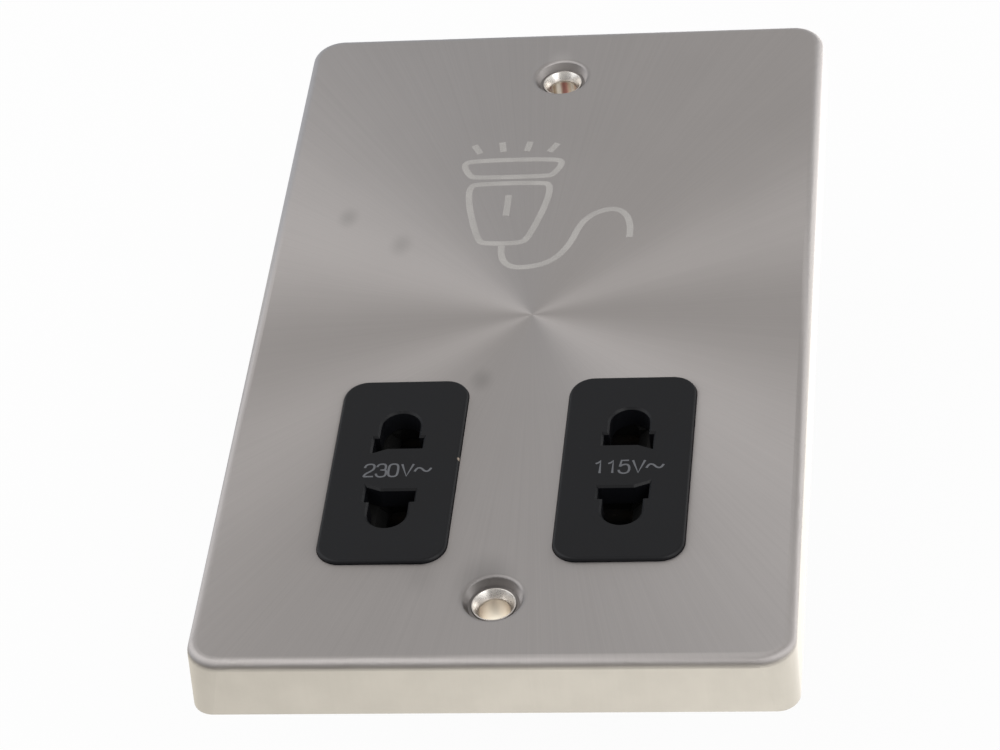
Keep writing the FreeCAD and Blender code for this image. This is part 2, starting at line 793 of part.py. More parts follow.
def rear_cover():
    body = rounded_block(cover_half_x, cover_half_y, cover_corner_radius, cover_back, web_back, 0, cover_y)
    body = body.makeFillet(cover_edge_radius, edges_at(body, cover_back))
    ears = [ear(x, y, math.copysign(cover_half_x - cover_wall / 2, x)) for x, y in cover_ear_places]
    body = fuse_all(body, ears)
    inner_x = cover_half_x - cover_wall
    cuts = [rounded_block(
        inner_x, cover_half_y - cover_wall, cover_corner_radius - cover_wall,
        cover_back + cover_wall, web_back, 0, cover_y)]
    cuts.append(span(
        -channel_half, channel_half, cover_bottom, cover_bottom + cover_wall,
        tail_middle - channel_half, tail_middle + channel_half))
    for x in terminal_places[:2]:
        cuts.append(along_y(
            mains_lead_radius + lead_clearance, x, cover_bottom, cover_bottom + cover_wall, terminal_middle))
    cuts += [post(screw_radius + screw_fit, x, y, ear_back, ear_front) for x, y in cover_ear_places]
    cuts += vents()
    return cut_all(body, cuts)


def vents():
    """Cooling slots through the cover's side walls and its back."""
    slots = []
    for i in range(side_vents):
        y = core_y + (i - (side_vents - 1) / 2) * vent_pitch
        slots.append(around(
            0, y, cover_half_x, vent_width / 2,
            core_middle - vent_length / 2, core_middle + vent_length / 2))
    for i in range(back_vents):
        x = (i - (back_vents - 1) / 2) * vent_pitch
        slots.append(around(
            x, core_y, vent_width / 2, vent_length / 2, cover_back, cover_back + cover_wall))
    return slots


def ear_screws(places):
    length = ear_thickness + screw_boss_height
    return Part.makeCompound([
        screw(x, y, ear_back, length, screw_head_radius, screw_head_height) for x, y in places])


pieces = {
    "front_plate": front_plate(),
    "top_fixing_eyelet": fixing_eyelet(fixing_places[0]),
    "bottom_fixing_eyelet": fixing_eyelet(fixing_places[1]),
    "mounting_frame": mounting_frame(),
    "socket_insert_230v": socket_insert(outlet_places[0], -1),
    "socket_insert_115v": socket_insert(outlet_places[1], 1),
    "interlock_shutter": interlock_shutter(),
    "socket_block": socket_block(),
    "block_screws": ear_screws(block_ear_places),
    "contact_230v": outlet_contact(outlet_places[0]),
    "contact_115v": outlet_contact(outlet_places[1]),
    "common_contact_strip": common_contact_strip(),
    "live_terminal": mains_terminal(terminal_places[0]),
    "neutral_terminal": mains_terminal(terminal_places[1]),
    "earth_terminal": mains_terminal(terminal_places[2]),
    "terminal_screws": terminal_screws(),
    "earth_strap": earth_strap(),
    "core_e_stack": core_e_stack(),
    "core_i_stack": core_i_stack(),
    "core_screws": core_screws(),
    "winding_bobbin": bobbin(),
    "output_winding": winding(bobbin_low + bobbin_flange, bobbin_middle - bobbin_flange / 2),
    "mains_winding": winding(bobbin_middle + bobbin_flange / 2, bobbin_high - bobbin_flange),
    "output_tags": output_tags(),
    "mains_tags": mains_tags(),
    "thermal_cutout": thermal_cutout(),
    "live_lead": live_lead(),
    "primary_lead": primary_lead(),
    "neutral_lead": neutral_lead(),
    "output_lead_230v": output_lead(-1, 1),
    "output_lead_115v": output_lead(1, 1),
    "output_lead_common": output_lead(0, -1),
    "rear_cover": rear_cover(),
    "cover_screws": ear_screws(cover_ear_places),
}

os.makedirs("parts", exist_ok=True)
for name, shape in pieces.items():
    shape.exportStep(f"parts/{name}.step")
    print(f"{name}: {len(shape.Solids)} solid, {shape.Volume:.1f} mm3, valid {shape.isValid()}")
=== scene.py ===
"""Looks of a two-voltage shaver socket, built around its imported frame."""
import math

import bmesh
import bpy
from bpy.props import FloatProperty, FloatVectorProperty, PointerProperty
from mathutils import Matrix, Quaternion, Vector


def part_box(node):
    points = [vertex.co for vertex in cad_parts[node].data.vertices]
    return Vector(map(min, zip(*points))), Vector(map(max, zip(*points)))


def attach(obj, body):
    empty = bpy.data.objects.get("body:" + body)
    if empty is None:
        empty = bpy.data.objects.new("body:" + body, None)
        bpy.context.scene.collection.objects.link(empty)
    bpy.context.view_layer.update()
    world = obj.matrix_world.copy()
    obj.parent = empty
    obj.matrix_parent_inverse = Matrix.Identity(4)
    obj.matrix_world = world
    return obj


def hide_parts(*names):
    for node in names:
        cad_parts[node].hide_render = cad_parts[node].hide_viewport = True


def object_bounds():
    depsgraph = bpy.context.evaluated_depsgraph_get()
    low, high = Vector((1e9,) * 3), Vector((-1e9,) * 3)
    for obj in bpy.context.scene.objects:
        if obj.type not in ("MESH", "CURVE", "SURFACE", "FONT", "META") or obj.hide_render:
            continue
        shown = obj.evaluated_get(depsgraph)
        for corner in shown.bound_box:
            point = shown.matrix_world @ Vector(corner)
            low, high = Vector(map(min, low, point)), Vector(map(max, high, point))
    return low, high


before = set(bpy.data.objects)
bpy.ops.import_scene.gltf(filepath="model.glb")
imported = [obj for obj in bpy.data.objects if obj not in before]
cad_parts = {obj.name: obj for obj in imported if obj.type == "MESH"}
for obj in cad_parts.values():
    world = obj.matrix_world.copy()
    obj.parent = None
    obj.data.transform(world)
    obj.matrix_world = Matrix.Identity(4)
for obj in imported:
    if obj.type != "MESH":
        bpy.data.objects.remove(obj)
CAD_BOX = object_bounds()

bl_info = {
    "name": "Shaver socket",
    "version": (1, 0, 0),
    "blender": (4, 5, 0),
    "location": "3D View > Sidebar > Shaver Socket",
    "description": "Dresses the frame of a two-voltage shaver socket",
    "category": "Object",
}

MM = 0.001
MERGE_GAP = 0.0001 * MM
Z_AXIS = (0.0, 0.0, 1.0)

# Nodes by finish
INSERT_NODES = ("socket_insert_230v", "socket_insert_115v")
EYELET_NODES = ("top_fixing_eyelet", "bottom_fixing_eyelet")
MOULDING_NODES = ("mounting_frame", "socket_block", "rear_cover")
CONTACT_NODES = ("contact_230v", "contact_115v", "common_contact_strip")
TERMINAL_NODES = ("live_terminal", "neutral_terminal", "earth_terminal", "terminal_screws", "earth_strap")
SCREW_NODES = ("block_screws", "cover_screws", "core_screws")
CORE_NODES = ("core_e_stack", "core_i_stack")
TAG_NODES = ("mains_tags", "output_tags")
LEAD_NODES = {
    "lead_brown": ("live_lead", "primary_lead"),
    "lead_blue": ("neutral_lead",),
    "lead_white": ("output_lead_230v", "output_lead_115v", "output_lead_common"),
}

# Places read from the frame
PLATE_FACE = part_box("front_plate")[1].z
INSERT_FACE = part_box(INSERT_NODES[0])[1].z
FLOOR_LEVEL = CAD_BOX[0].z
MAIN_BODY = "unit"


def mm(*values):
    """Millimetres as a tuple of metres."""
    return tuple(value * MM for value in values)


# Settings

def colour_setting(name, description, default):
    """Setting that holds a colour."""
    return FloatVectorProperty(
        name=name, description=description, subtype="COLOR", default=default, min=0.0, max=1.0)


def length_setting(name, description, default):
    """Setting that holds a length in metres."""
    return FloatProperty(
        name=name, description=description, subtype="DISTANCE", unit="LENGTH", default=default, min=0.0)


def place_setting(name, description, default):
    """Setting that holds a place in metres."""
    return FloatVectorProperty(
        name=name, description=description, subtype="TRANSLATION", unit="LENGTH", size=3, default=default)


class SteelSettings(bpy.types.PropertyGroup):
    """Sunray-brushed steel of the front plate."""
    tint: colour_setting("Tint", "Colour of the bare steel", (0.625, 0.595, 0.585))
    roughness: FloatProperty(
        name="Roughness", description="Blur left by the brushing", subtype="FACTOR",
        default=0.54, min=0.0, max=1.0)
    stretch: FloatProperty(
        name="Stretch", description="How far the brushing draws highlights out", subtype="FACTOR",
        default=0.81, min=0.0, max=1.0)
    centre: place_setting("Sunray centre", "Point that the brushing strokes start from", mm(0.3, 0.4, 0.0))


class EyeletSettings(bpy.types.PropertyGroup):
    """Rolled eyelets in the two fixing holes."""
    bore: length_setting("Bore", "Inner radius of the tube", 2.25 * MM)
    wall: length_setting("Wall", "Thickness of the tube", 0.55 * MM)
    funnel: length_setting("Funnel", "How far the funnel opens out of the bore", 0.8 * MM)
    funnel_depth: length_setting("Funnel depth", "Height of the funnel", 1.3 * MM)
    lip: length_setting("Lip", "Height of the upright lip round the funnel", 0.25 * MM)
    lip_wall: length_setting("Lip wall", "Thickness of the lip", 0.15 * MM)
    foot: length_setting("Foot", "Thickness of the rolled foot", 0.4 * MM)
    tint: colour_setting("Tint", "Colour of the bright plating", (0.92, 0.885, 0.84))
    # The stain also gives the painted cream reflection deep in the bottom tube
    stain: colour_setting("Stain", "Warm stain deep in the bottom tube", (0.83, 0.77, 0.72))
    # Painted brown reflection on the far side of the top tube
    tarnish: colour_setting("Tarnish", "Brown tarnish on the far side of the top tube", (0.70, 0.58, 0.47))
    # Painted pale reflection deep in the top tube
    tube_reflection: colour_setting("Shine", "Bright metal deep in the top tube", (1.0, 0.96, 0.91))
    # Painted reddish reflection down the far side of the top tube
    red_tube_reflection: colour_setting("Streak", "Reddish streak down the far side of the top tube", (0.52, 0.25, 0.22))


class MarkSettings(bpy.types.PropertyGroup):
    """Etched symbol on the plate and printed voltages on the inserts."""
    stroke: length_setting("Stroke", "Width of an etched stroke", 1.05 * MM)
    etch_height: length_setting("Etch height", "How far the etched strokes stand up", 0.02 * MM)
    etch_colour: colour_setting("Etch", "Pale grey of the etched strokes", (0.60, 0.58, 0.56))
    print_width: length_setting("Print width", "Width of a printed voltage", 10.2 * MM)
    print_height: length_setting("Print height", "Height of a printed voltage", 3.0 * MM)
    print_thickness: length_setting("Print thickness", "Thickness of the ink", 0.02 * MM)
    print_colour: colour_setting("Print", "Grey of the printed voltages", (0.140, 0.144, 0.158))


class PlasticSettings(bpy.types.PropertyGroup):
    """Colours of the moulded pieces and the leads."""
    insert: colour_setting("Insert", "Black of the two socket inserts", (0.0052, 0.0056, 0.0076))
    shutter: colour_setting("Shutter", "Black of the interlock shutter", (0.006, 0.006, 0.006))
    moulding: colour_setting("Moulding", "Black of the frame, block and rear cover", (0.020, 0.020, 0.021))
    bobbin: colour_setting("Bobbin", "Natural nylon of the bobbin", (0.70, 0.66, 0.55))
    cutout: colour_setting("Cut-out", "Dark case of the thermal cut-out", (0.06, 0.05, 0.045))
    lead_brown: colour_setting("Live lead", "Brown insulation", (0.17, 0.065, 0.028))
    lead_blue: colour_setting("Neutral lead", "Blue insulation", (0.035, 0.15, 0.42))
    lead_white: colour_setting("Output leads", "White insulation", (0.72, 0.71, 0.68))


class InnerMetalSettings(bpy.types.PropertyGroup):
    """Colours of the metal pieces behind the plate."""
    zinc: colour_setting("Zinc", "Zinc plating of the screws", (0.60, 0.61, 0.62))
    bronze: colour_setting("Bronze", "Bronze strip of the contacts", (0.62, 0.42, 0.24))
    brass: colour_setting("Brass", "Brass of the terminals", (0.74, 0.56, 0.29))
    tin: colour_setting("Tin", "Tinned solder tags", (0.66, 0.65, 0.62))
    core: colour_setting("Core", "Varnished edges of the laminations", (0.17, 0.165, 0.165))
    copper: colour_setting("Copper", "Enamelled winding wire", (0.52, 0.22, 0.09))


class StageSettings(bpy.types.PropertyGroup):
    """Camera and light of the picture."""
    camera_place: place_setting("Camera", "Where the camera stands", mm(73.56, -414.26, 367.50))
    camera_aim: place_setting("Aim", "Point at the middle of the picture", mm(-3.38, -13.34, 10.0))
    camera_roll: FloatProperty(
        name="Roll", description="Turn of the camera about its own axis", subtype="ANGLE",
        unit="ROTATION", default=math.radians(-8.30))
    camera_lens: FloatProperty(
        name="Lens", description="Focal length in millimetres", default=130.13, min=1.0)
    left_size: length_setting("Left size", "Side of the square lamp on the left", 0.80)
    left_power: FloatProperty(
        name="Left power", description="Power of the lamp on the left", subtype="POWER", unit="POWER",
        default=1.88, min=0.0)
    left_place: place_setting("Left lamp", "Where the lamp on the left hangs", (-0.63, -0.07, 0.63))
    right_size: length_setting("Right size", "Side of the square lamp on the right", 0.50)
    right_power: FloatProperty(
        name="Right power", description="Power of the lamp on the right", subtype="POWER", unit="POWER",
        default=1.50, min=0.0)
    right_place: place_setting("Right lamp", "Where the lamp on the right hangs", (0.53, -0.41, 0.56))


# Shader helpers

CLOUD_LOW = 0.3
CLOUD_HIGH = 0.7


def new_material(name):
    """Empty procedural material, as the material, its node tree and its shader."""
    material = bpy.data.materials.new(name)
    material.use_nodes = True
    return material, material.node_tree, material.node_tree.nodes["Principled BSDF"]


def add_node(tree, kind, inputs=None, **options):
    """Adds a node; each input is either a value or the socket that feeds it."""
    made = tree.nodes.new(kind)
    for name, value in options.items():
        setattr(made, name, value)
    feed(tree, made, inputs or {})
    return made


def feed(tree, node, inputs):
    """Sets or links a node's inputs."""
    for key, value in inputs.items():
        if isinstance(value, bpy.types.NodeSocket):
            tree.links.new(value, node.inputs[key])
        else:
            node.inputs[key].default_value = value


def calc(tree, operation, first, second=0.0):
    """One step of arithmetic on values."""
    return add_node(tree, "ShaderNodeMath", {0: first, 1: second}, operation=operation).outputs[0]


def vector_calc(tree, operation, first, second=(0.0, 0.0, 0.0)):
    """One step of arithmetic on vectors."""
    step = add_node(tree, "ShaderNodeVectorMath", {0: first, 1: second}, operation=operation)
    return step.outputs["Value" if operation in ("LENGTH", "DISTANCE", "DOT_PRODUCT") else "Vector"]


def scaled(tree, colour, factor):
    """A colour or vector, made larger or smaller by a changing factor."""
    step = add_node(tree, "ShaderNodeVectorMath", {0: colour, "Scale": factor}, operation="SCALE")
    return step.outputs["Vector"]


def object_point(tree):
    """Place on the piece, in metres."""
    return add_node(tree, "ShaderNodeTexCoord").outputs["Object"]


def part_of(tree, vector, axis):
    """One coordinate of a vector."""
    return add_node(tree, "ShaderNodeSeparateXYZ", {0: vector}).outputs[axis]


def remap(tree, value, low, high, to_low=0.0, to_high=1.0):
    """Maps a value smoothly from one range to another and holds it there."""
    inputs = {"Value": value, "From Min": low, "From Max": high, "To Min": to_low, "To Max": to_high}
    return add_node(tree, "ShaderNodeMapRange", inputs, interpolation_type="SMOOTHSTEP").outputs["Result"]


def noise(tree, point, scale, detail=2.0):
    """Cloudy pattern between 0 and 1, with its scale in repeats a metre."""
    inputs = {"Vector": point, "Scale": scale, "Detail": detail}
    return add_node(tree, "ShaderNodeTexNoise", inputs).outputs["Fac"]


def vary(tree, pattern, low, high):
    """Spreads the usual range of a cloudy pattern over a range of values."""
    return remap(tree, pattern, CLOUD_LOW, CLOUD_HIGH, low, high)


def blend(tree, factor, first, second):
    """Mixes two colours by a mask."""
    return add_node(tree, "ShaderNodeMix", {0: factor, 6: first, 7: second}, data_type="RGBA").outputs[2]


def bump(tree, height, strength, distance):
    """Normal of a surface with fine relief."""
    inputs = {"Height": height, "Strength": strength, "Distance": distance}
    return add_node(tree, "ShaderNodeBump", inputs).outputs["Normal"]


def rgba(colour):
    """A colour with full opacity."""
    return (*colour, 1.0)


# Effects shared by several finishes

GROUP_KINDS = {"Point": "NodeSocketVector", "Colour": "NodeSocketColor", "Stain": "NodeSocketColor"}


def new_group(name, inputs, outputs):
    """Empty shader group with named sockets, as its tree, its entry sockets and its exit node."""
    tree = bpy.data.node_groups.new(name, "ShaderNodeTree")
    for side, sockets in (("INPUT", inputs), ("OUTPUT", outputs)):
        for socket in sockets:
            kind = GROUP_KINDS.get(socket, "NodeSocketFloat")
            tree.interface.new_socket(socket, in_out=side, socket_type=kind)
    entry = tree.nodes.new("NodeGroupInput").outputs
    return tree, entry, tree.nodes.new("NodeGroupOutput")


def shared_group(name, build):
    """The group of that name, built when it is first needed."""
    return bpy.data.node_groups.get(name) or build(name)


PATCH_SCALE = 90.0
PATCH_DEPTH = 0.08
PATCH_SHEEN = 0.05
GRAIN_TONE = (0.90, 1.10)
GRAIN_SHEEN = 0.03
SPECK_SCALE = 1600.0
SPECK_EDGE = (0.70, 0.78)
DUST_GREY = (0.45, 0.44, 0.42, 1.0)


def build_moulded_grain(name):
    """Fine eroded grain of a mould, with cloudy sheen and a few specks of dust."""
    tree, entry, leave = new_group(
        name, ("Point", "Colour", "Roughness", "Grain", "Dust"), ("Colour", "Roughness", "Height"))
    fine = noise(tree, entry["Point"], entry["Grain"], detail=3.0)
    speck = remap(tree, noise(tree, entry["Point"], SPECK_SCALE, detail=1.0), *SPECK_EDGE)
    patch = vary(tree, noise(tree, entry["Point"], PATCH_SCALE), -1.0, 1.0)
    tone = calc(tree, "ADD", vary(tree, fine, *GRAIN_TONE), calc(tree, "MULTIPLY", patch, PATCH_DEPTH))
    dusty = calc(tree, "MULTIPLY", speck, entry["Dust"])
    colour = blend(tree, dusty, scaled(tree, entry["Colour"], tone), DUST_GREY)
    fine_sheen = vary(tree, fine, -GRAIN_SHEEN, GRAIN_SHEEN)
    sheen = calc(tree, "ADD", fine_sheen, calc(tree, "MULTIPLY", patch, PATCH_SHEEN))
    feed(tree, leave, {
        "Colour": colour, "Roughness": calc(tree, "ADD", entry["Roughness"], sheen), "Height": fine})
    return tree


TARNISH_SCALE = 420.0
TARNISH_EDGE = (0.42, 0.72)
TARNISH_BLUR = 0.18
SCRATCH_SCALE = 5200.0
SCRATCH_RUN = (1.0, 0.12, 1.0)
SCRATCH_TONE = (0.94, 1.04)
SCRATCH_BLUR = (-0.03, 0.05)


def build_worn_plating(name):
    """Bright metal with cloudy tarnish and fine scratches from handling."""
    tree, entry, leave = new_group(
        name, ("Point", "Colour", "Stain", "Roughness", "Tarnish"), ("Colour", "Roughness", "Height"))
    cloud = noise(tree, entry["Point"], TARNISH_SCALE, detail=4.0)
    drawn = vector_calc(tree, "MULTIPLY", entry["Point"], SCRATCH_RUN)
    scratch = noise(tree, drawn, SCRATCH_SCALE, detail=1.0)
    dull = calc(tree, "MULTIPLY", remap(tree, cloud, *TARNISH_EDGE), entry["Tarnish"])
    tone = vary(tree, scratch, *SCRATCH_TONE)
    dull_blur = calc(tree, "MULTIPLY", dull, TARNISH_BLUR)
    rough = calc(tree, "ADD", dull_blur, vary(tree, scratch, *SCRATCH_BLUR))
    feed(tree, leave, {
        "Colour": scaled(tree, blend(tree, dull, entry["Colour"], entry["Stain"]), tone),
        "Roughness": calc(tree, "ADD", entry["Roughness"], rough),
        "Height": scratch,
    })
    return tree


# Finishes

# Brushing strokes: how many go round and how deep each kind is
STROKE_BANDS = ((26.0, 0.006), (110.0, 0.010), (520.0, 0.022))
STROKE_EDGE = (0.25, 0.75)
STROKE_LENGTH = 26.0
STROKE_BLUR = 0.012
STROKE_RELIEF = 0.02
STROKE_DEPTH = 0.02

# Face and skirt
FACE_DROP = 1.6
FACE_SCALE = 45.0
FACE_CLOUD = 0.012
FOLD_BLUR = 0.11
SKIRT_SHARE = 0.45
SKIRT_SCALE = 210.0
SKIRT_CLOUD = 0.022

# Finger smudges, then painted shade in and round the bottom dimple and a painted highlight by the top
# dimple: place and reach in millimetres, and a depth of tone, which is lighter below zero
SPOT_SHARE = (1.0, 0.68, 1.0)
SMUDGES_AND_PAINTED_SHADING = (
    (-31.3, 24.9, 2.3, 0.17),
    (-22.0, 17.8, 2.5, 0.15),
    (-6.1, -14.4, 2.4, 0.17),
    (-10.6, -56.0, 3.2, 0.07),
    # Painted shade in and round the bottom dimple
    (-1.4, -57.6, 5.4, 0.26),
    # Painted highlight by the top dimple
    (-0.5, 64.3, 2.8, -0.16),
)

# Painted shade in the dimples: their reach, the drop where the painted shade starts and is full, its depth,
# and the painted shade ring on the rim
DIMPLE_REACH = 8.0
DIMPLE_DROP = (0.0, 0.2)
DIMPLE_SHADES = {"top_fixing_eyelet": 0.10, "bottom_fixing_eyelet": 0.17}
RIM_RADIUS = 4.45
RIM_REACH = 0.6
RIM_SHADE = 0.11
ON_PLANE = (1.0, 1.0, 0.0)


def sunray_steel(settings):
    """Steel brushed in straight strokes that all start from one centre, with a few finger smudges, painted
    shade in the dimples and on their rims, and a painted highlight by the top dimple.
    """
    material, tree, shader = new_material("brushed_steel")
    point = object_point(tree)
    flat = vector_calc(
        tree, "MULTIPLY", vector_calc(tree, "SUBTRACT", point, tuple(settings.centre)), ON_PLANE)
    outward = vector_calc(tree, "NORMALIZE", flat)
    radius = vector_calc(tree, "LENGTH", flat)
    run = add_node(tree, "ShaderNodeCombineXYZ", {"Z": calc(tree, "MULTIPLY", radius, STROKE_LENGTH)})
    height = part_of(tree, point, "Z")
    on_face = remap(tree, height, PLATE_FACE - FACE_DROP * MM, PLATE_FACE, SKIRT_SHARE, 1.0)
    folded = remap(tree, on_face, SKIRT_SHARE, 1.0, settings.roughness + FOLD_BLUR, settings.roughness)
    tone = 0.0
    for count, depth in STROKE_BANDS:
        place = vector_calc(tree, "ADD", scaled(tree, outward, count), run.outputs["Vector"])
        stroke = noise(tree, place, 1.0)
        tone = calc(tree, "ADD", remap(tree, stroke, *STROKE_EDGE, -depth, depth), tone)
    tone = calc(tree, "ADD", calc(tree, "MULTIPLY", tone, on_face), 1.0)
    tone = calc(tree, "ADD", tone, vary(tree, noise(tree, point, FACE_SCALE), -FACE_CLOUD, FACE_CLOUD))
    off_face = remap(tree, on_face, SKIRT_SHARE, 1.0, 1.0, 0.0)
    handled = vary(tree, noise(tree, point, SKIRT_SCALE, detail=4.0), -SKIRT_CLOUD, SKIRT_CLOUD)
    tone = calc(tree, "ADD", tone, calc(tree, "MULTIPLY", handled, off_face))
    # Finger smudges, painted shade at the bottom dimple and a painted highlight by the top dimple
    for x, y, reach, depth in SMUDGES_AND_PAINTED_SHADING:
        apart = vector_calc(tree, "SUBTRACT", point, (*mm(x, y), PLATE_FACE))
        gap = vector_calc(tree, "LENGTH", vector_calc(tree, "MULTIPLY", apart, SPOT_SHARE))
        tone = calc(tree, "SUBTRACT", tone, remap(tree, gap, 0.0, reach * MM, depth, 0.0))
    # Painted shade down the walls of each dimple and in a ring on its rim
    start, full = (PLATE_FACE - drop * MM for drop in DIMPLE_DROP)
    for node, depth in DIMPLE_SHADES.items():
        low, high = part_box(node)
        apart = vector_calc(tree, "SUBTRACT", point, (low + high) / 2)
        gap = vector_calc(tree, "LENGTH", vector_calc(tree, "MULTIPLY", apart, ON_PLANE))
        near = calc(tree, "LESS_THAN", gap, DIMPLE_REACH * MM)
        sunk = remap(tree, height, full, start, depth, 0.0)
        tone = calc(tree, "SUBTRACT", tone, calc(tree, "MULTIPLY", near, sunk))
        off_rim = calc(tree, "ABSOLUTE", calc(tree, "SUBTRACT", gap, RIM_RADIUS * MM))
        tone = calc(tree, "SUBTRACT", tone, remap(tree, off_rim, 0.0, RIM_REACH * MM, RIM_SHADE, 0.0))
    drawn_blur = remap(tree, stroke, *STROKE_EDGE, -STROKE_BLUR, STROKE_BLUR)
    feed(tree, shader, {
        "Base Color": scaled(tree, tuple(settings.tint), tone),
        "Metallic": 1.0,
        "Roughness": calc(tree, "ADD", folded, drawn_blur),
        "Anisotropic": settings.stretch,
        "Tangent": vector_calc(tree, "CROSS_PRODUCT", Z_AXIS, outward),
        "Normal": bump(tree, stroke, STROKE_RELIEF, STROKE_DEPTH * MM),
    })
    return material


PLATING_RELIEF = 0.08
PLATING_DEPTH = 0.01


def plated_metal(name, colour, stain, roughness, tarnish, relief=PLATING_RELIEF):
    """Metal piece with a plated or stamped surface."""
    material, tree, shader = new_material(name)
    group = add_node(tree, "ShaderNodeGroup", node_tree=shared_group("worn_plating", build_worn_plating))
    feed(tree, group, {
        "Point": object_point(tree), "Colour": rgba(colour), "Stain": rgba(stain),
        "Roughness": roughness, "Tarnish": tarnish})
    feed(tree, shader, {
        "Base Color": group.outputs["Colour"],
        "Metallic": 1.0,
        "Roughness": group.outputs["Roughness"],
        "Normal": bump(tree, group.outputs["Height"], relief, PLATING_DEPTH * MM),
    })
    return material


# Painted reflections in the top tube, as bands: place, half width and the setting that holds the colour
TUBE_REFLECTION_BANDS = ((-1.05, 0.65, "tube_reflection"), (1.35, 0.60, "tube_reflection"), (-0.05, 0.85, "red_tube_reflection"))
REFLECTION_CORE = 0.2
TUBE_BLUR = 0.08
TUBE_START = 0.4
TUBE_SHARE = 0.9
EYELET_RELIEF = 0.02


def bright_nickel(settings, top):
    """Bright plating with painted reflections deep in the tubes: warm cream in the bottom one, and pale,
    brown and reddish bands in the top one.
    """
    material = plated_metal(
        "bright_nickel", settings.tint, settings.stain, roughness=0.28, tarnish=0.25, relief=EYELET_RELIEF)
    tree = material.node_tree
    shader = tree.nodes["Principled BSDF"]
    plain = shader.inputs["Base Color"].links[0].from_socket
    blur = shader.inputs["Roughness"].links[0].from_socket
    point = object_point(tree)
    far_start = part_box(EYELET_NODES[0])[1].y - settings.bore
    neck = top - settings.funnel_depth
    # Painted reflections deep in the tubes: the stain colour in the bottom tube, a pale one in the top tube
    deep = remap(tree, part_of(tree, point, "Z"), neck - TUBE_START * settings.funnel_depth, neck, 1.0, 0.0)
    upper = calc(tree, "GREATER_THAN", part_of(tree, point, "Y"), 0.0)
    inner = blend(tree, upper, rgba(settings.stain), rgba(settings.tube_reflection))
    colour = blend(tree, calc(tree, "MULTIPLY", deep, TUBE_SHARE), plain, inner)
    # Painted brown reflection and reflected bands down the far wall of the top tube
    far = calc(tree, "GREATER_THAN", part_of(tree, point, "Y"), far_start)
    far_wall = calc(tree, "MULTIPLY", deep, far)
    colour = blend(tree, far_wall, colour, rgba(settings.tarnish))
    for place, half, name in TUBE_REFLECTION_BANDS:
        aside = calc(tree, "ABSOLUTE", calc(tree, "SUBTRACT", part_of(tree, point, "X"), place * MM))
        narrow = remap(tree, aside, REFLECTION_CORE * half * MM, half * MM, 1.0, 0.0)
        band = calc(tree, "MULTIPLY", far_wall, narrow)
        colour = blend(tree, band, colour, rgba(getattr(settings, name)))
    feed(tree, shader, {
        "Base Color": colour,
        "Roughness": calc(tree, "ADD", blur, calc(tree, "MULTIPLY", deep, TUBE_BLUR)),
    })
    return material


GRAIN_RELIEF = 0.12
GRAIN_DEPTH = 0.02


def moulded_plastic(name, colour, roughness, grain=3600.0, dust=0.0, specular=0.5):
    """Moulded piece with the fine grain of its tool."""
    material, tree, shader = new_material(name)
    group = add_node(tree, "ShaderNodeGroup", node_tree=shared_group("moulded_grain", build_moulded_grain))
    feed(tree, group, {
        "Point": object_point(tree), "Colour": rgba(colour), "Roughness": roughness,
        "Grain": grain, "Dust": dust})
    feed(tree, shader, {
        "Base Color": group.outputs["Colour"],
        "Roughness": group.outputs["Roughness"],
        "Specular IOR Level": specular,
        "Normal": bump(tree, group.outputs["Height"], GRAIN_RELIEF, GRAIN_DEPTH * MM),
    })
    return material


PALE_SPOT_PLACE = (-7.6, -32.1, 10.4)
PALE_SPOT_REACH = 0.42
PALE_SPOT_CORE = 0.4
PALE_SPOT_COLOUR = (0.50, 0.41, 0.33, 1.0)


def insert_black(settings):
    """Matte black of the inserts, with one small pale spot on an edge."""
    material = moulded_plastic(
        "insert_black", settings.insert, roughness=0.46, grain=4200.0, dust=0.010, specular=0.34)
    tree = material.node_tree
    shader = tree.nodes["Principled BSDF"]
    plain = shader.inputs["Base Color"].links[0].from_socket
    gap = vector_calc(tree, "DISTANCE", object_point(tree), mm(*PALE_SPOT_PLACE))
    pale_spot = remap(tree, gap, PALE_SPOT_CORE * PALE_SPOT_REACH * MM, PALE_SPOT_REACH * MM, 1.0, 0.0)
    feed(tree, shader, {"Base Color": blend(tree, pale_spot, plain, PALE_SPOT_COLOUR)})
    return material


SHEET_GAUGE = 0.5
SHEET_TONE = (0.80, 1.15)
SEAM_EDGE = (0.36, 0.48)
SEAM_SHADE = 0.45
SEAM_RELIEF = 0.5
SEAM_DEPTH = 0.05
VARNISH_SCALE = 160.0
VARNISH_DEPTH = 0.15
VARNISH_BLUR = (0.40, 0.60)
RUST_EDGE = (0.58, 0.75)
RUST_SHARE = 0.5
RUST = (0.20, 0.085, 0.035, 1.0)


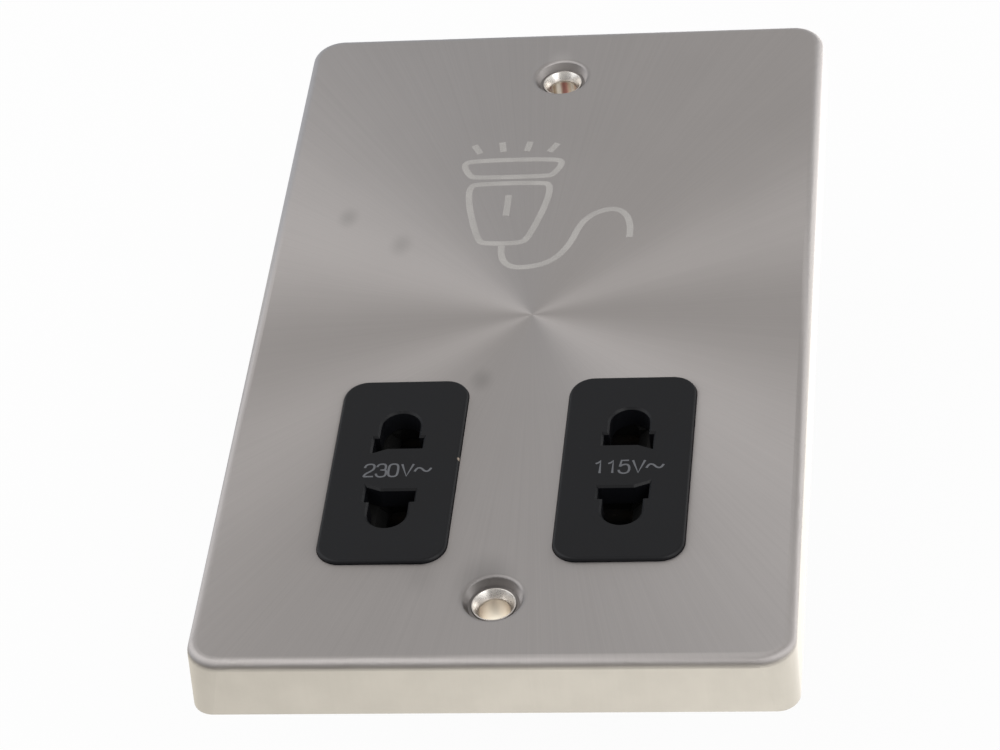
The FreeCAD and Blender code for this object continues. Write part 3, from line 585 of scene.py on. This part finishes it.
def laminated_core(colour):
    """Stack of thin steel sheets whose cut edges are varnished unevenly."""
    material, tree, shader = new_material("core_steel")
    point = object_point(tree)
    height = part_of(tree, point, "Z")
    sheet = calc(tree, "DIVIDE", height, SHEET_GAUGE * MM)
    number = calc(tree, "FLOOR", sheet)
    seam = calc(tree, "ABSOLUTE", calc(tree, "SUBTRACT", calc(tree, "FRACT", sheet), 0.5))
    shade = add_node(tree, "ShaderNodeTexWhiteNoise", {"W": number}, noise_dimensions="1D").outputs["Value"]
    cloud = noise(tree, point, VARNISH_SCALE, detail=4.0)
    patch = vary(tree, cloud, -VARNISH_DEPTH, VARNISH_DEPTH)
    tone = calc(tree, "ADD", remap(tree, shade, 0.0, 1.0, *SHEET_TONE), patch)
    tone = calc(tree, "MULTIPLY", tone, remap(tree, seam, *SEAM_EDGE, 1.0, SEAM_SHADE))
    rusty = blend(tree, remap(tree, cloud, *RUST_EDGE, 0.0, RUST_SHARE), rgba(colour), RUST)
    feed(tree, shader, {
        "Base Color": scaled(tree, rusty, tone),
        "Metallic": 0.7,
        "Roughness": vary(tree, cloud, *VARNISH_BLUR),
        "Normal": bump(tree, remap(tree, seam, SEAM_EDGE[0], 0.5, 1.0, 0.0), SEAM_RELIEF, SEAM_DEPTH * MM),
    })
    return material


WANDER_SCALE = 130.0
WANDER = 0.6
WANDER_TONE = 0.08
PAINTED_GROOVE_SHADE = 0.45
WIRE_BLUR = (0.50, 0.30)
ENAMEL = (0.2, 0.6)
WIRE_RELIEF = 0.6


def wound_wire(name, colour, pitch):
    """Layer of enamelled wire wound round the bobbin, turn beside turn, with painted shade from each crown
    into the grooves.
    """
    material, tree, shader = new_material(name)
    point = object_point(tree)
    along = calc(tree, "DIVIDE", part_of(tree, point, "Y"), pitch)
    wander = vary(tree, noise(tree, point, WANDER_SCALE), -WANDER, WANDER)
    turn = calc(tree, "FRACT", calc(tree, "ADD", along, wander))
    offset = calc(tree, "ABSOLUTE", calc(tree, "SUBTRACT", turn, 0.5))
    crown = remap(tree, offset, 0.0, 0.5, 1.0, 0.0)
    uneven = remap(tree, wander, -WANDER, WANDER, -WANDER_TONE, WANDER_TONE)
    # Painted shade: each turn lighter on its crown and darker towards the grooves
    tone = calc(tree, "ADD", remap(tree, crown, 0.0, 1.0, PAINTED_GROOVE_SHADE, 1.0), uneven)
    feed(tree, shader, {
        "Base Color": scaled(tree, tuple(colour), tone),
        "Metallic": 0.75,
        "Roughness": remap(tree, crown, 0.0, 1.0, *WIRE_BLUR),
        "Coat Weight": remap(tree, crown, 0.0, 1.0, *ENAMEL),
        "Normal": bump(tree, crown, WIRE_RELIEF, 0.5 * pitch),
    })
    return material


FROST_SCALE = 5200.0
FROST_TONE = (0.93, 1.07)
FROST_BLUR = 0.06
FROST_RELIEF = 0.1
FROST_DEPTH = 0.01
MARK_SCALE = 240.0
MARK_CLOUD = 0.05


def etched_mark(name, colour, roughness, metallic):
    """Pale frosted strokes with a slightly uneven surface."""
    material, tree, shader = new_material(name)
    point = object_point(tree)
    frost = noise(tree, point, FROST_SCALE, detail=3.0)
    patch = vary(tree, noise(tree, point, MARK_SCALE), -MARK_CLOUD, MARK_CLOUD)
    tone = calc(tree, "ADD", vary(tree, frost, *FROST_TONE), patch)
    feed(tree, shader, {
        "Base Color": scaled(tree, tuple(colour), tone),
        "Metallic": metallic,
        "Roughness": vary(tree, frost, roughness - FROST_BLUR, roughness + FROST_BLUR),
        "Normal": bump(tree, frost, FROST_RELIEF, FROST_DEPTH * MM),
    })
    return material


def dress(nodes, material):
    """Gives carried-over nodes their finish."""
    for node in nodes:
        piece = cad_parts[node]
        piece.data.materials.clear()
        piece.data.materials.append(material)


def add_piece(name, form, material, smooth=False):
    """Merges a form's doubles, turns its faces outwards and adds it as a piece of the main body."""
    bmesh.ops.remove_doubles(form, verts=form.verts, dist=MERGE_GAP)
    bmesh.ops.recalc_face_normals(form, faces=form.faces)
    for face in form.faces:
        face.smooth = smooth
    mesh = bpy.data.meshes.new(name)
    form.to_mesh(mesh)
    form.free()
    mesh.materials.append(material)
    piece = bpy.data.objects.new(name, mesh)
    bpy.context.scene.collection.objects.link(piece)
    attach(piece, MAIN_BODY)
    return piece


# Front plate and its symbol

class PlateOperator(bpy.types.Operator):
    """Finishes the front plate in sunray-brushed steel."""
    bl_idname = "shaver_socket.plate"
    bl_label = "Front Plate"

    def execute(self, context):
        dress(("front_plate",), sunray_steel(context.scene.shaver_steel))
        return {"FINISHED"}


# Strokes of a plain shaver symbol in millimetres, seen from the front
SYMBOL_CURVES = {
    "body": (True, ((-11.0, 32.6), (-1.0, 32.6), (0.6, 32.0), (0.2, 27.0), (-2.0, 18.6), (-3.2, 17.6),
                    (-8.8, 17.6), (-10.0, 18.6), (-12.2, 27.0), (-12.6, 32.0))),
    "head": (True, ((-12.4, 38.6), (0.4, 38.6), (2.2, 37.8), (0.8, 34.6), (-0.4, 34.2), (-11.6, 34.2),
                    (-12.8, 34.6), (-14.2, 37.8))),
    "cord": (False, ((-6.0, 17.0), (-6.0, 11.6), (1.0, 11.8), (4.6, 16.0), (6.4, 23.6), (11.4, 26.2),
                     (14.2, 22.6), (14.0, 18.4))),
}
SYMBOL_LINES = (
    ((-6.0, 29.6), (-6.0, 24.4)),
    ((-11.6, 40.4), (-12.8, 42.6)),
    ((-7.9, 40.7), (-8.3, 43.2)),
    ((-4.1, 40.7), (-3.7, 43.2)),
    ((-0.4, 40.4), (0.8, 42.6)),
)
MARK_ROUNDING = 2
MARK_STEPS = 10


def stroke_form(splines, width):
    """Form of strokes with round section along smooth or straight splines."""
    curve = bpy.data.curves.new("strokes", "CURVE")
    curve.dimensions = "3D"
    curve.bevel_depth = width / 2
    curve.bevel_resolution = MARK_ROUNDING
    curve.use_fill_caps = True
    for closed, points, kind in splines:
        spline = curve.splines.new(kind)
        spline.points.add(len(points) - 1)
        for place, (x, y) in zip(spline.points, points):
            place.co = (*mm(x, y, 0.0), 1.0)
        if kind == "NURBS":
            spline.order_u = 3
            spline.use_endpoint_u = not closed
            spline.resolution_u = MARK_STEPS
        spline.use_cyclic_u = closed
    holder = bpy.data.objects.new("strokes", curve)
    bpy.context.scene.collection.objects.link(holder)
    mesh = bpy.data.meshes.new_from_object(holder)
    form = bmesh.new()
    form.from_mesh(mesh)
    bpy.data.meshes.remove(mesh)
    bpy.data.objects.remove(holder)
    bpy.data.curves.remove(curve)
    return form


class SymbolOperator(bpy.types.Operator):
    """Etches a plain shaver symbol into the upper half of the plate."""
    bl_idname = "shaver_socket.symbol"
    bl_label = "Etched Symbol"

    def execute(self, context):
        settings = context.scene.shaver_marks
        splines = [(closed, points, "NURBS") for closed, points in SYMBOL_CURVES.values()]
        splines += [(False, points, "POLY") for points in SYMBOL_LINES]
        form = stroke_form(splines, settings.stroke)
        flatten = 2 * settings.etch_height / settings.stroke
        bmesh.ops.scale(form, vec=(1.0, 1.0, flatten), verts=form.verts)
        bmesh.ops.translate(form, vec=(0.0, 0.0, PLATE_FACE), verts=form.verts)
        material = etched_mark("etched_steel", settings.etch_colour, roughness=0.62, metallic=0.55)
        add_piece("etched_symbol", form, material)
        return {"FINISHED"}


# Socket inserts and their voltages

class InsertOperator(bpy.types.Operator):
    """Finishes the two socket inserts in matte black."""
    bl_idname = "shaver_socket.inserts"
    bl_label = "Socket Inserts"

    def execute(self, context):
        dress(INSERT_NODES, insert_black(context.scene.shaver_plastic))
        return {"FINISHED"}


VOLTAGES = {"socket_insert_230v": "230V~", "socket_insert_115v": "115V~"}
VOLTAGE_OFFSET = (0.6, -0.4)
LETTER_STROKE = 1.15
LETTER_STEP = {"V": 7.3}
PLAIN_STEP = 6.1

# Strokes of the printed signs, on a field 5 wide and 10 high
LETTER_STROKES = {
    "0": ((True, "NURBS", ((0.1, 2.0), (0.1, 8.0), (1.0, 10.2), (4.0, 10.2), (4.9, 8.0), (4.9, 2.0),
                           (4.0, -0.2), (1.0, -0.2))),),
    "1": ((False, "POLY", ((0.9, 7.6), (2.3, 8.5), (3.2, 10.0), (3.2, 0.0))),),
    "2": ((False, "NURBS", ((0.2, 7.2), (0.3, 10.2), (4.8, 10.4), (5.0, 6.4), (3.2, 4.2), (0.6, 2.2),
                            (0.1, 0.0))),
          (False, "POLY", ((0.1, 0.0), (5.0, 0.0)))),
    "3": ((False, "NURBS", ((0.3, 7.8), (0.4, 10.2), (4.6, 10.4), (4.7, 5.4), (2.9, 5.4), (1.9, 5.4))),
          (False, "NURBS", ((1.9, 5.4), (3.2, 5.4), (5.2, 5.2), (5.0, -0.3), (0.3, -0.4), (0.1, 2.4)))),
    "5": ((False, "POLY", ((4.6, 10.0), (1.1, 10.0), (0.5, 5.0))),
          (False, "NURBS", ((0.5, 5.0), (1.6, 6.9), (5.1, 6.6), (5.1, -0.3), (0.3, -0.4), (0.1, 2.4)))),
    "V": ((False, "POLY", ((0.5, 10.0), (3.4, 0.0), (6.3, 10.0))),),
    "~": ((False, "NURBS", ((0.0, 3.7), (0.9, 6.9), (3.2, 6.6), (4.8, 4.0), (7.1, 3.6), (8.1, 6.6))),),
}


def letter_form(words):
    """Lettering drawn in strokes of one width."""
    splines = []
    start = 0.0
    for letter in words:
        for closed, kind, points in LETTER_STROKES[letter]:
            splines.append((closed, [(start + x, y) for x, y in points], kind))
        start += LETTER_STEP.get(letter, PLAIN_STEP)
    return stroke_form(splines, LETTER_STROKE * MM)


def fit_form(form, size, middle):
    """Scales and moves a form so that it fills a box."""
    low = Vector(min(vert.co[axis] for vert in form.verts) for axis in range(3))
    high = Vector(max(vert.co[axis] for vert in form.verts) for axis in range(3))
    bmesh.ops.translate(form, vec=-(low + high) / 2, verts=form.verts)
    share = [wanted / given for wanted, given in zip(size, high - low)]
    bmesh.ops.scale(form, vec=share, verts=form.verts)
    bmesh.ops.translate(form, vec=middle, verts=form.verts)


class VoltageOperator(bpy.types.Operator):
    """Prints a plain voltage between the apertures of each insert."""
    bl_idname = "shaver_socket.voltages"
    bl_label = "Printed Voltages"

    def execute(self, context):
        settings = context.scene.shaver_marks
        material = etched_mark("grey_print", settings.print_colour, roughness=0.6, metallic=0.0)
        size = (settings.print_width, settings.print_height, settings.print_thickness)
        for node, words in VOLTAGES.items():
            low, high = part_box(node)
            middle = (low + high) / 2 + Vector((*mm(*VOLTAGE_OFFSET), 0.0))
            middle.z = INSERT_FACE
            form = letter_form(words)
            fit_form(form, size, middle)
            add_piece(f"voltage_{words[:3]}", form, material)
        return {"FINISHED"}


# Fixing eyelets

EYELET_STEPS = 96
BEND_STEPS = 4
SOFT_BEND = 0.22
LIP_BEND = 0.06
FOOT_BEND = 0.12


def eyelet_form(settings, radius, low, high, middle):
    """Rolled eyelet: a foot, a tube and a funnel with a thin lip, spun from its section."""
    bore = settings.bore
    tube = bore + settings.wall
    head = bore + settings.funnel + settings.lip_wall
    seat = high - settings.lip
    neck = seat - (head - tube) * settings.funnel_depth / settings.funnel
    section = (
        (bore, low, FOOT_BEND), (radius, low, FOOT_BEND), (radius, low + settings.foot, FOOT_BEND),
        (tube, low + settings.foot, FOOT_BEND), (tube, neck, SOFT_BEND), (head, seat, SOFT_BEND),
        (head, high, LIP_BEND), (bore + settings.funnel, high, LIP_BEND),
        (bore, high - settings.funnel_depth, SOFT_BEND))
    form = bmesh.new()
    verts = [form.verts.new((middle.x + reach, middle.y, height)) for reach, height, bend in section]
    for first, second in zip(verts, verts[1:] + verts[:1]):
        form.edges.new((first, second))
    bends = [bend for reach, height, bend in section]
    for size in sorted(set(bends)):
        chosen = [vert for vert, bend in zip(verts, bends) if bend == size]
        bmesh.ops.bevel(
            form, geom=chosen, offset=size * MM, offset_type="OFFSET", segments=BEND_STEPS, profile=0.5,
            affect="VERTICES", material=-1)
    bmesh.ops.spin(
        form, geom=form.verts[:] + form.edges[:], cent=(middle.x, middle.y, 0.0), axis=Z_AXIS,
        angle=2 * math.pi, steps=EYELET_STEPS, use_merge=True)
    return form


class EyeletOperator(bpy.types.Operator):
    """Spins the two rolled eyelets of the fixing holes."""
    bl_idname = "shaver_socket.eyelets"
    bl_label = "Fixing Eyelets"

    def execute(self, context):
        settings = context.scene.shaver_eyelets
        material = bright_nickel(settings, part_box(EYELET_NODES[0])[1].z)
        for node in EYELET_NODES:
            low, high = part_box(node)
            form = eyelet_form(settings, (high.x - low.x) / 2, low.z, high.z, (low + high) / 2)
            piece = add_piece(f"rolled_{node}", form, material, smooth=True)
            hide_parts(node)
        return {"FINISHED"}


# Pieces behind the plate

DULL_BRONZE = (0.24, 0.13, 0.07)
DULL_BRASS = (0.38, 0.24, 0.10)
DULL_ZINC = (0.36, 0.36, 0.37)
DULL_TIN = (0.40, 0.39, 0.37)


class ShutterOperator(bpy.types.Operator):
    """Finishes the interlock shutter behind the inserts."""
    bl_idname = "shaver_socket.shutter"
    bl_label = "Interlock Shutter"

    def execute(self, context):
        colour = context.scene.shaver_plastic.shutter
        material = moulded_plastic("shutter_black", colour, roughness=0.55, specular=0.3)
        dress(("interlock_shutter",), material)
        return {"FINISHED"}


class MouldingOperator(bpy.types.Operator):
    """Finishes the mounting frame, the socket block and the rear cover."""
    bl_idname = "shaver_socket.mouldings"
    bl_label = "Mouldings"

    def execute(self, context):
        colour = context.scene.shaver_plastic.moulding
        material = moulded_plastic("moulding_black", colour, roughness=0.50, grain=2400.0, dust=0.10)
        dress(MOULDING_NODES, material)
        return {"FINISHED"}


class ContactOperator(bpy.types.Operator):
    """Finishes the bronze contacts."""
    bl_idname = "shaver_socket.contacts"
    bl_label = "Contacts"

    def execute(self, context):
        colour = context.scene.shaver_inner_metal.bronze
        material = plated_metal("contact_bronze", colour, DULL_BRONZE, roughness=0.34, tarnish=0.5)
        dress(CONTACT_NODES, material)
        return {"FINISHED"}


class TerminalOperator(bpy.types.Operator):
    """Finishes the mains terminals, their screws and the earth strap in brass."""
    bl_idname = "shaver_socket.terminals"
    bl_label = "Terminals"

    def execute(self, context):
        colour = context.scene.shaver_inner_metal.brass
        material = plated_metal("terminal_brass", colour, DULL_BRASS, roughness=0.30, tarnish=0.45)
        dress(TERMINAL_NODES, material)
        return {"FINISHED"}


class ScrewOperator(bpy.types.Operator):
    """Finishes the screws of the block, the cover and the core in zinc."""
    bl_idname = "shaver_socket.screws"
    bl_label = "Screws"

    def execute(self, context):
        colour = context.scene.shaver_inner_metal.zinc
        material = plated_metal("zinc_screw", colour, DULL_ZINC, roughness=0.32, tarnish=0.6)
        dress(SCREW_NODES, material)
        return {"FINISHED"}


WIRE_PITCH = {"mains_winding": 0.32, "output_winding": 0.45}


class TransformerOperator(bpy.types.Operator):
    """Finishes the core, the bobbin, the windings, their tags and the thermal cut-out."""
    bl_idname = "shaver_socket.transformer"
    bl_label = "Transformer"

    def execute(self, context):
        metal = context.scene.shaver_inner_metal
        plastic = context.scene.shaver_plastic
        dress(CORE_NODES, laminated_core(metal.core))
        nylon = moulded_plastic("bobbin_nylon", plastic.bobbin, roughness=0.42, grain=1800.0)
        dress(("winding_bobbin",), nylon)
        for node, pitch in WIRE_PITCH.items():
            dress((node,), wound_wire(f"{node}_copper", metal.copper, pitch * MM))
        dress(TAG_NODES, plated_metal("tinned_tag", metal.tin, DULL_TIN, roughness=0.36, tarnish=0.5))
        case = moulded_plastic("cutout_case", plastic.cutout, roughness=0.38, grain=2000.0)
        dress(("thermal_cutout",), case)
        return {"FINISHED"}


class LeadOperator(bpy.types.Operator):
    """Finishes the insulated leads inside the housing."""
    bl_idname = "shaver_socket.leads"
    bl_label = "Leads"

    def execute(self, context):
        plastic = context.scene.shaver_plastic
        for name, nodes in LEAD_NODES.items():
            colour = getattr(plastic, name)
            dress(nodes, moulded_plastic(name, colour, roughness=0.36, grain=1400.0, dust=0.03))
        return {"FINISHED"}


# Stage

FLOOR_SIZE = 4.0
FLOOR_GAP = 0.1
CAMERA_GLOW = 0.96
CREAM = (1.22, 1.195, 1.05, 1.0)
LIGHT_CREAM = (1.75, 1.73, 1.535, 1.0)
COOL_GREY = (0.45, 0.475, 0.50, 1.0)
OVERHEAD_GREY = (0.482, 0.471, 0.458, 1.0)
DARK_FRONT = (0.17, 0.155, 0.145, 1.0)
BRIGHT_STRIP = (2.90, 2.90, 2.90, 1.0)
PALE_SIDE = (1.30, 1.29, 1.27, 1.0)
PALE_BLUE = (0.66, 0.69, 0.73, 1.0)
WHITE = (1.0, 1.0, 1.0, 1.0)
FILL_GREY = (0.55, 0.55, 0.55, 1.0)
FLOOR_PAINT = (0.9, 0.9, 0.9, 1.0)

# Cards that metal sees on the floor: where each starts and where it is full, in metres
CREAM_RUN = (-0.08, 0.08)
CREAM_BACK = (0.08, 0.06)
CREAM_LEFT = (-0.06, -0.04)
CREAM_FRONT = (0.0, -0.03)
BLUE_LEFT = (-0.02, -0.06)
DARK_NEAR = (-0.16, -0.24)
SIDE_EDGE = (0.040, 0.046)
SIDE_FRONT = (-0.06, -0.03)
STRIP_END = (0.10, 0.075)

# Cards that metal sees round about: where each starts and is full, as parts of a direction
OVERHEAD_EDGE = (0.20, 0.60)
LEFT_EDGE = (-0.35, -0.60)
LEFT_TOP = (0.60, 0.35)
FRONT_EDGE = (-0.25, -0.55)
FRONT_TOP = (0.50, 0.30)
RIGHT_EDGE = (0.40, 0.70)
RIGHT_TOP = (0.45, 0.20)


def mirrored_ray(tree, path):
    """Mask of rays that come from a glossy or clear surface."""
    return calc(tree, "ADD", path.outputs["Is Glossy Ray"], path.outputs["Is Transmission Ray"])


def make_floor():
    """Pale floor that keeps a soft shadow, is clear from below, and looks like a set of cards to metal."""
    form = bmesh.new()
    bmesh.ops.create_grid(form, x_segments=1, y_segments=1, size=FLOOR_SIZE / 2)
    bmesh.ops.translate(form, verts=form.verts, vec=(0.0, 0.0, FLOOR_LEVEL - FLOOR_GAP * MM))
    mesh = bpy.data.meshes.new("floor")
    form.to_mesh(mesh)
    form.free()
    floor = bpy.data.objects.new("floor", mesh)
    bpy.context.scene.collection.objects.link(floor)
    material, tree, shader = new_material("pale_floor")
    path = add_node(tree, "ShaderNodeLightPath")
    point = object_point(tree)
    sideways = part_of(tree, point, "X")
    forward = part_of(tree, point, "Y")
    under = calc(tree, "MULTIPLY", remap(tree, forward, *CREAM_BACK), remap(tree, sideways, *CREAM_LEFT))
    under = calc(tree, "MAXIMUM", under, remap(tree, forward, *CREAM_FRONT))
    cards = blend(tree, remap(tree, sideways, *BLUE_LEFT), COOL_GREY, PALE_BLUE)
    cream = blend(tree, remap(tree, sideways, *CREAM_RUN), CREAM, LIGHT_CREAM)
    cards = blend(tree, under, cards, cream)
    cards = blend(tree, remap(tree, forward, *DARK_NEAR), cards, DARK_FRONT)
    beside = calc(tree, "MULTIPLY", remap(tree, sideways, *SIDE_EDGE), remap(tree, forward, *SIDE_FRONT))
    cards = blend(tree, beside, cards, PALE_SIDE)
    strip = calc(tree, "MULTIPLY", beside, remap(tree, sideways, *STRIP_END))
    cards = blend(tree, strip, cards, BRIGHT_STRIP)
    feed(tree, shader, {"Base Color": FLOOR_PAINT, "Roughness": 0.9, "Specular IOR Level": 0.0})
    glow = add_node(tree, "ShaderNodeEmission", {"Color": WHITE, "Strength": 1.0})
    card_glow = add_node(tree, "ShaderNodeEmission", {"Color": cards, "Strength": 1.0})
    seen = calc(tree, "MULTIPLY", path.outputs["Is Camera Ray"], CAMERA_GLOW)
    below = add_node(tree, "ShaderNodeNewGeometry").outputs["Backfacing"]
    clear = add_node(tree, "ShaderNodeBsdfTransparent")
    surface = shader
    for mask, cover in ((seen, glow), (mirrored_ray(tree, path), card_glow), (below, clear)):
        inputs = {0: mask, 1: surface.outputs[0], 2: cover.outputs[0]}
        surface = add_node(tree, "ShaderNodeMixShader", inputs)
    feed(tree, tree.nodes["Material Output"], {"Surface": surface.outputs[0]})
    mesh.materials.append(material)


def make_surroundings(scene):
    """White for the camera; metal sees grey overhead and a pale, a dark and a bright card round about."""
    world = bpy.data.worlds.new("surroundings")
    scene.world = world
    world.use_nodes = True
    tree = world.node_tree
    path = add_node(tree, "ShaderNodeLightPath")
    direction = add_node(tree, "ShaderNodeTexCoord").outputs["Generated"]
    sideways = part_of(tree, direction, "X")
    back = part_of(tree, direction, "Y")
    height = part_of(tree, direction, "Z")
    cards = blend(tree, remap(tree, height, *OVERHEAD_EDGE), COOL_GREY, OVERHEAD_GREY)
    left = calc(tree, "MULTIPLY", remap(tree, sideways, *LEFT_EDGE), remap(tree, height, *LEFT_TOP))
    cards = blend(tree, left, cards, PALE_BLUE)
    front = calc(tree, "MULTIPLY", remap(tree, back, *FRONT_EDGE), remap(tree, height, *FRONT_TOP))
    cards = blend(tree, front, cards, DARK_FRONT)
    right = calc(tree, "MULTIPLY", remap(tree, sideways, *RIGHT_EDGE), remap(tree, height, *RIGHT_TOP))
    cards = blend(tree, right, cards, PALE_SIDE)
    plain = blend(tree, mirrored_ray(tree, path), FILL_GREY, cards)
    seen = blend(tree, path.outputs["Is Camera Ray"], plain, WHITE)
    feed(tree, tree.nodes["Background"], {"Color": seen, "Strength": 1.0})


def make_lamp(name, place, power, size):
    """Soft square lamp that faces the middle of the plate."""
    data = bpy.data.lights.new(name, "AREA")
    data.shape = "SQUARE"
    data.size = size
    data.energy = power
    lamp = bpy.data.objects.new(name, data)
    lamp.location = place
    lamp.rotation_euler = (-Vector(place)).to_track_quat("-Z", "Y").to_euler()
    bpy.context.scene.collection.objects.link(lamp)


SENSOR_WIDTH = 36.0
NEAREST_SIGHT = 0.01


def make_camera(scene, settings):
    """Camera at the picture's viewing angle."""
    data = bpy.data.cameras.new("camera")
    data.sensor_width = SENSOR_WIDTH
    data.lens = settings.camera_lens
    data.clip_start = NEAREST_SIGHT
    camera = bpy.data.objects.new("camera", data)
    place = Vector(settings.camera_place)
    look = (Vector(settings.camera_aim) - place).to_track_quat("-Z", "Y")
    camera.location = place
    camera.rotation_euler = (look @ Quaternion(Z_AXIS, settings.camera_roll)).to_euler()
    scene.collection.objects.link(camera)
    scene.camera = camera


class StageOperator(bpy.types.Operator):
    """Sets up the pale floor, the soft lamps, the surroundings and the camera."""
    bl_idname = "shaver_socket.stage"
    bl_label = "Stage"

    def execute(self, context):
        settings = context.scene.shaver_stage
        make_floor()
        make_surroundings(context.scene)
        make_lamp("left_lamp", settings.left_place, settings.left_power, settings.left_size)
        make_lamp("right_lamp", settings.right_place, settings.right_power, settings.right_size)
        make_camera(context.scene, settings)
        context.scene.view_settings.view_transform = "Standard"
        return {"FINISHED"}


OPERATORS = (
    PlateOperator, SymbolOperator, InsertOperator, VoltageOperator, EyeletOperator, ShutterOperator,
    MouldingOperator, ContactOperator, TerminalOperator, ScrewOperator, TransformerOperator, LeadOperator,
    StageOperator,
)
SETTINGS = {
    "shaver_steel": SteelSettings,
    "shaver_eyelets": EyeletSettings,
    "shaver_marks": MarkSettings,
    "shaver_plastic": PlasticSettings,
    "shaver_inner_metal": InnerMetalSettings,
    "shaver_stage": StageSettings,
}


class ShaverSocketPanel(bpy.types.Panel):
    """Lists the steps that dress the shaver socket, with their settings."""
    bl_idname = "VIEW3D_PT_shaver_socket"
    bl_label = "Shaver Socket"
    bl_space_type = "VIEW_3D"
    bl_region_type = "UI"
    bl_category = "Shaver Socket"

    def draw(self, context):
        for operator in OPERATORS:
            self.layout.operator(operator.bl_idname)
        for name, group in SETTINGS.items():
            box = self.layout.box()
            for setting in group.__annotations__:
                box.prop(getattr(context.scene, name), setting)


def register():
    """Adds the settings, the steps and their panel to Blender."""
    for name, group in SETTINGS.items():
        bpy.utils.register_class(group)
        setattr(bpy.types.Scene, name, PointerProperty(type=group))
    for operator in OPERATORS:
        bpy.utils.register_class(operator)
    bpy.utils.register_class(ShaverSocketPanel)


def unregister():
    """Takes the panel, the steps and the settings out of Blender again."""
    bpy.utils.unregister_class(ShaverSocketPanel)
    for operator in reversed(OPERATORS):
        bpy.utils.unregister_class(operator)
    for name, group in reversed(SETTINGS.items()):
        delattr(bpy.types.Scene, name)
        bpy.utils.unregister_class(group)


def main():
    """Dresses the frame step by step."""
    register()
    bpy.ops.shaver_socket.plate()
    bpy.ops.shaver_socket.symbol()
    bpy.ops.shaver_socket.inserts()
    bpy.ops.shaver_socket.voltages()
    bpy.ops.shaver_socket.eyelets()
    bpy.ops.shaver_socket.shutter()
    bpy.ops.shaver_socket.mouldings()
    bpy.ops.shaver_socket.contacts()
    bpy.ops.shaver_socket.terminals()
    bpy.ops.shaver_socket.screws()
    bpy.ops.shaver_socket.transformer()
    bpy.ops.shaver_socket.leads()
    bpy.ops.shaver_socket.stage()


if __name__ == "__main__":
    main()
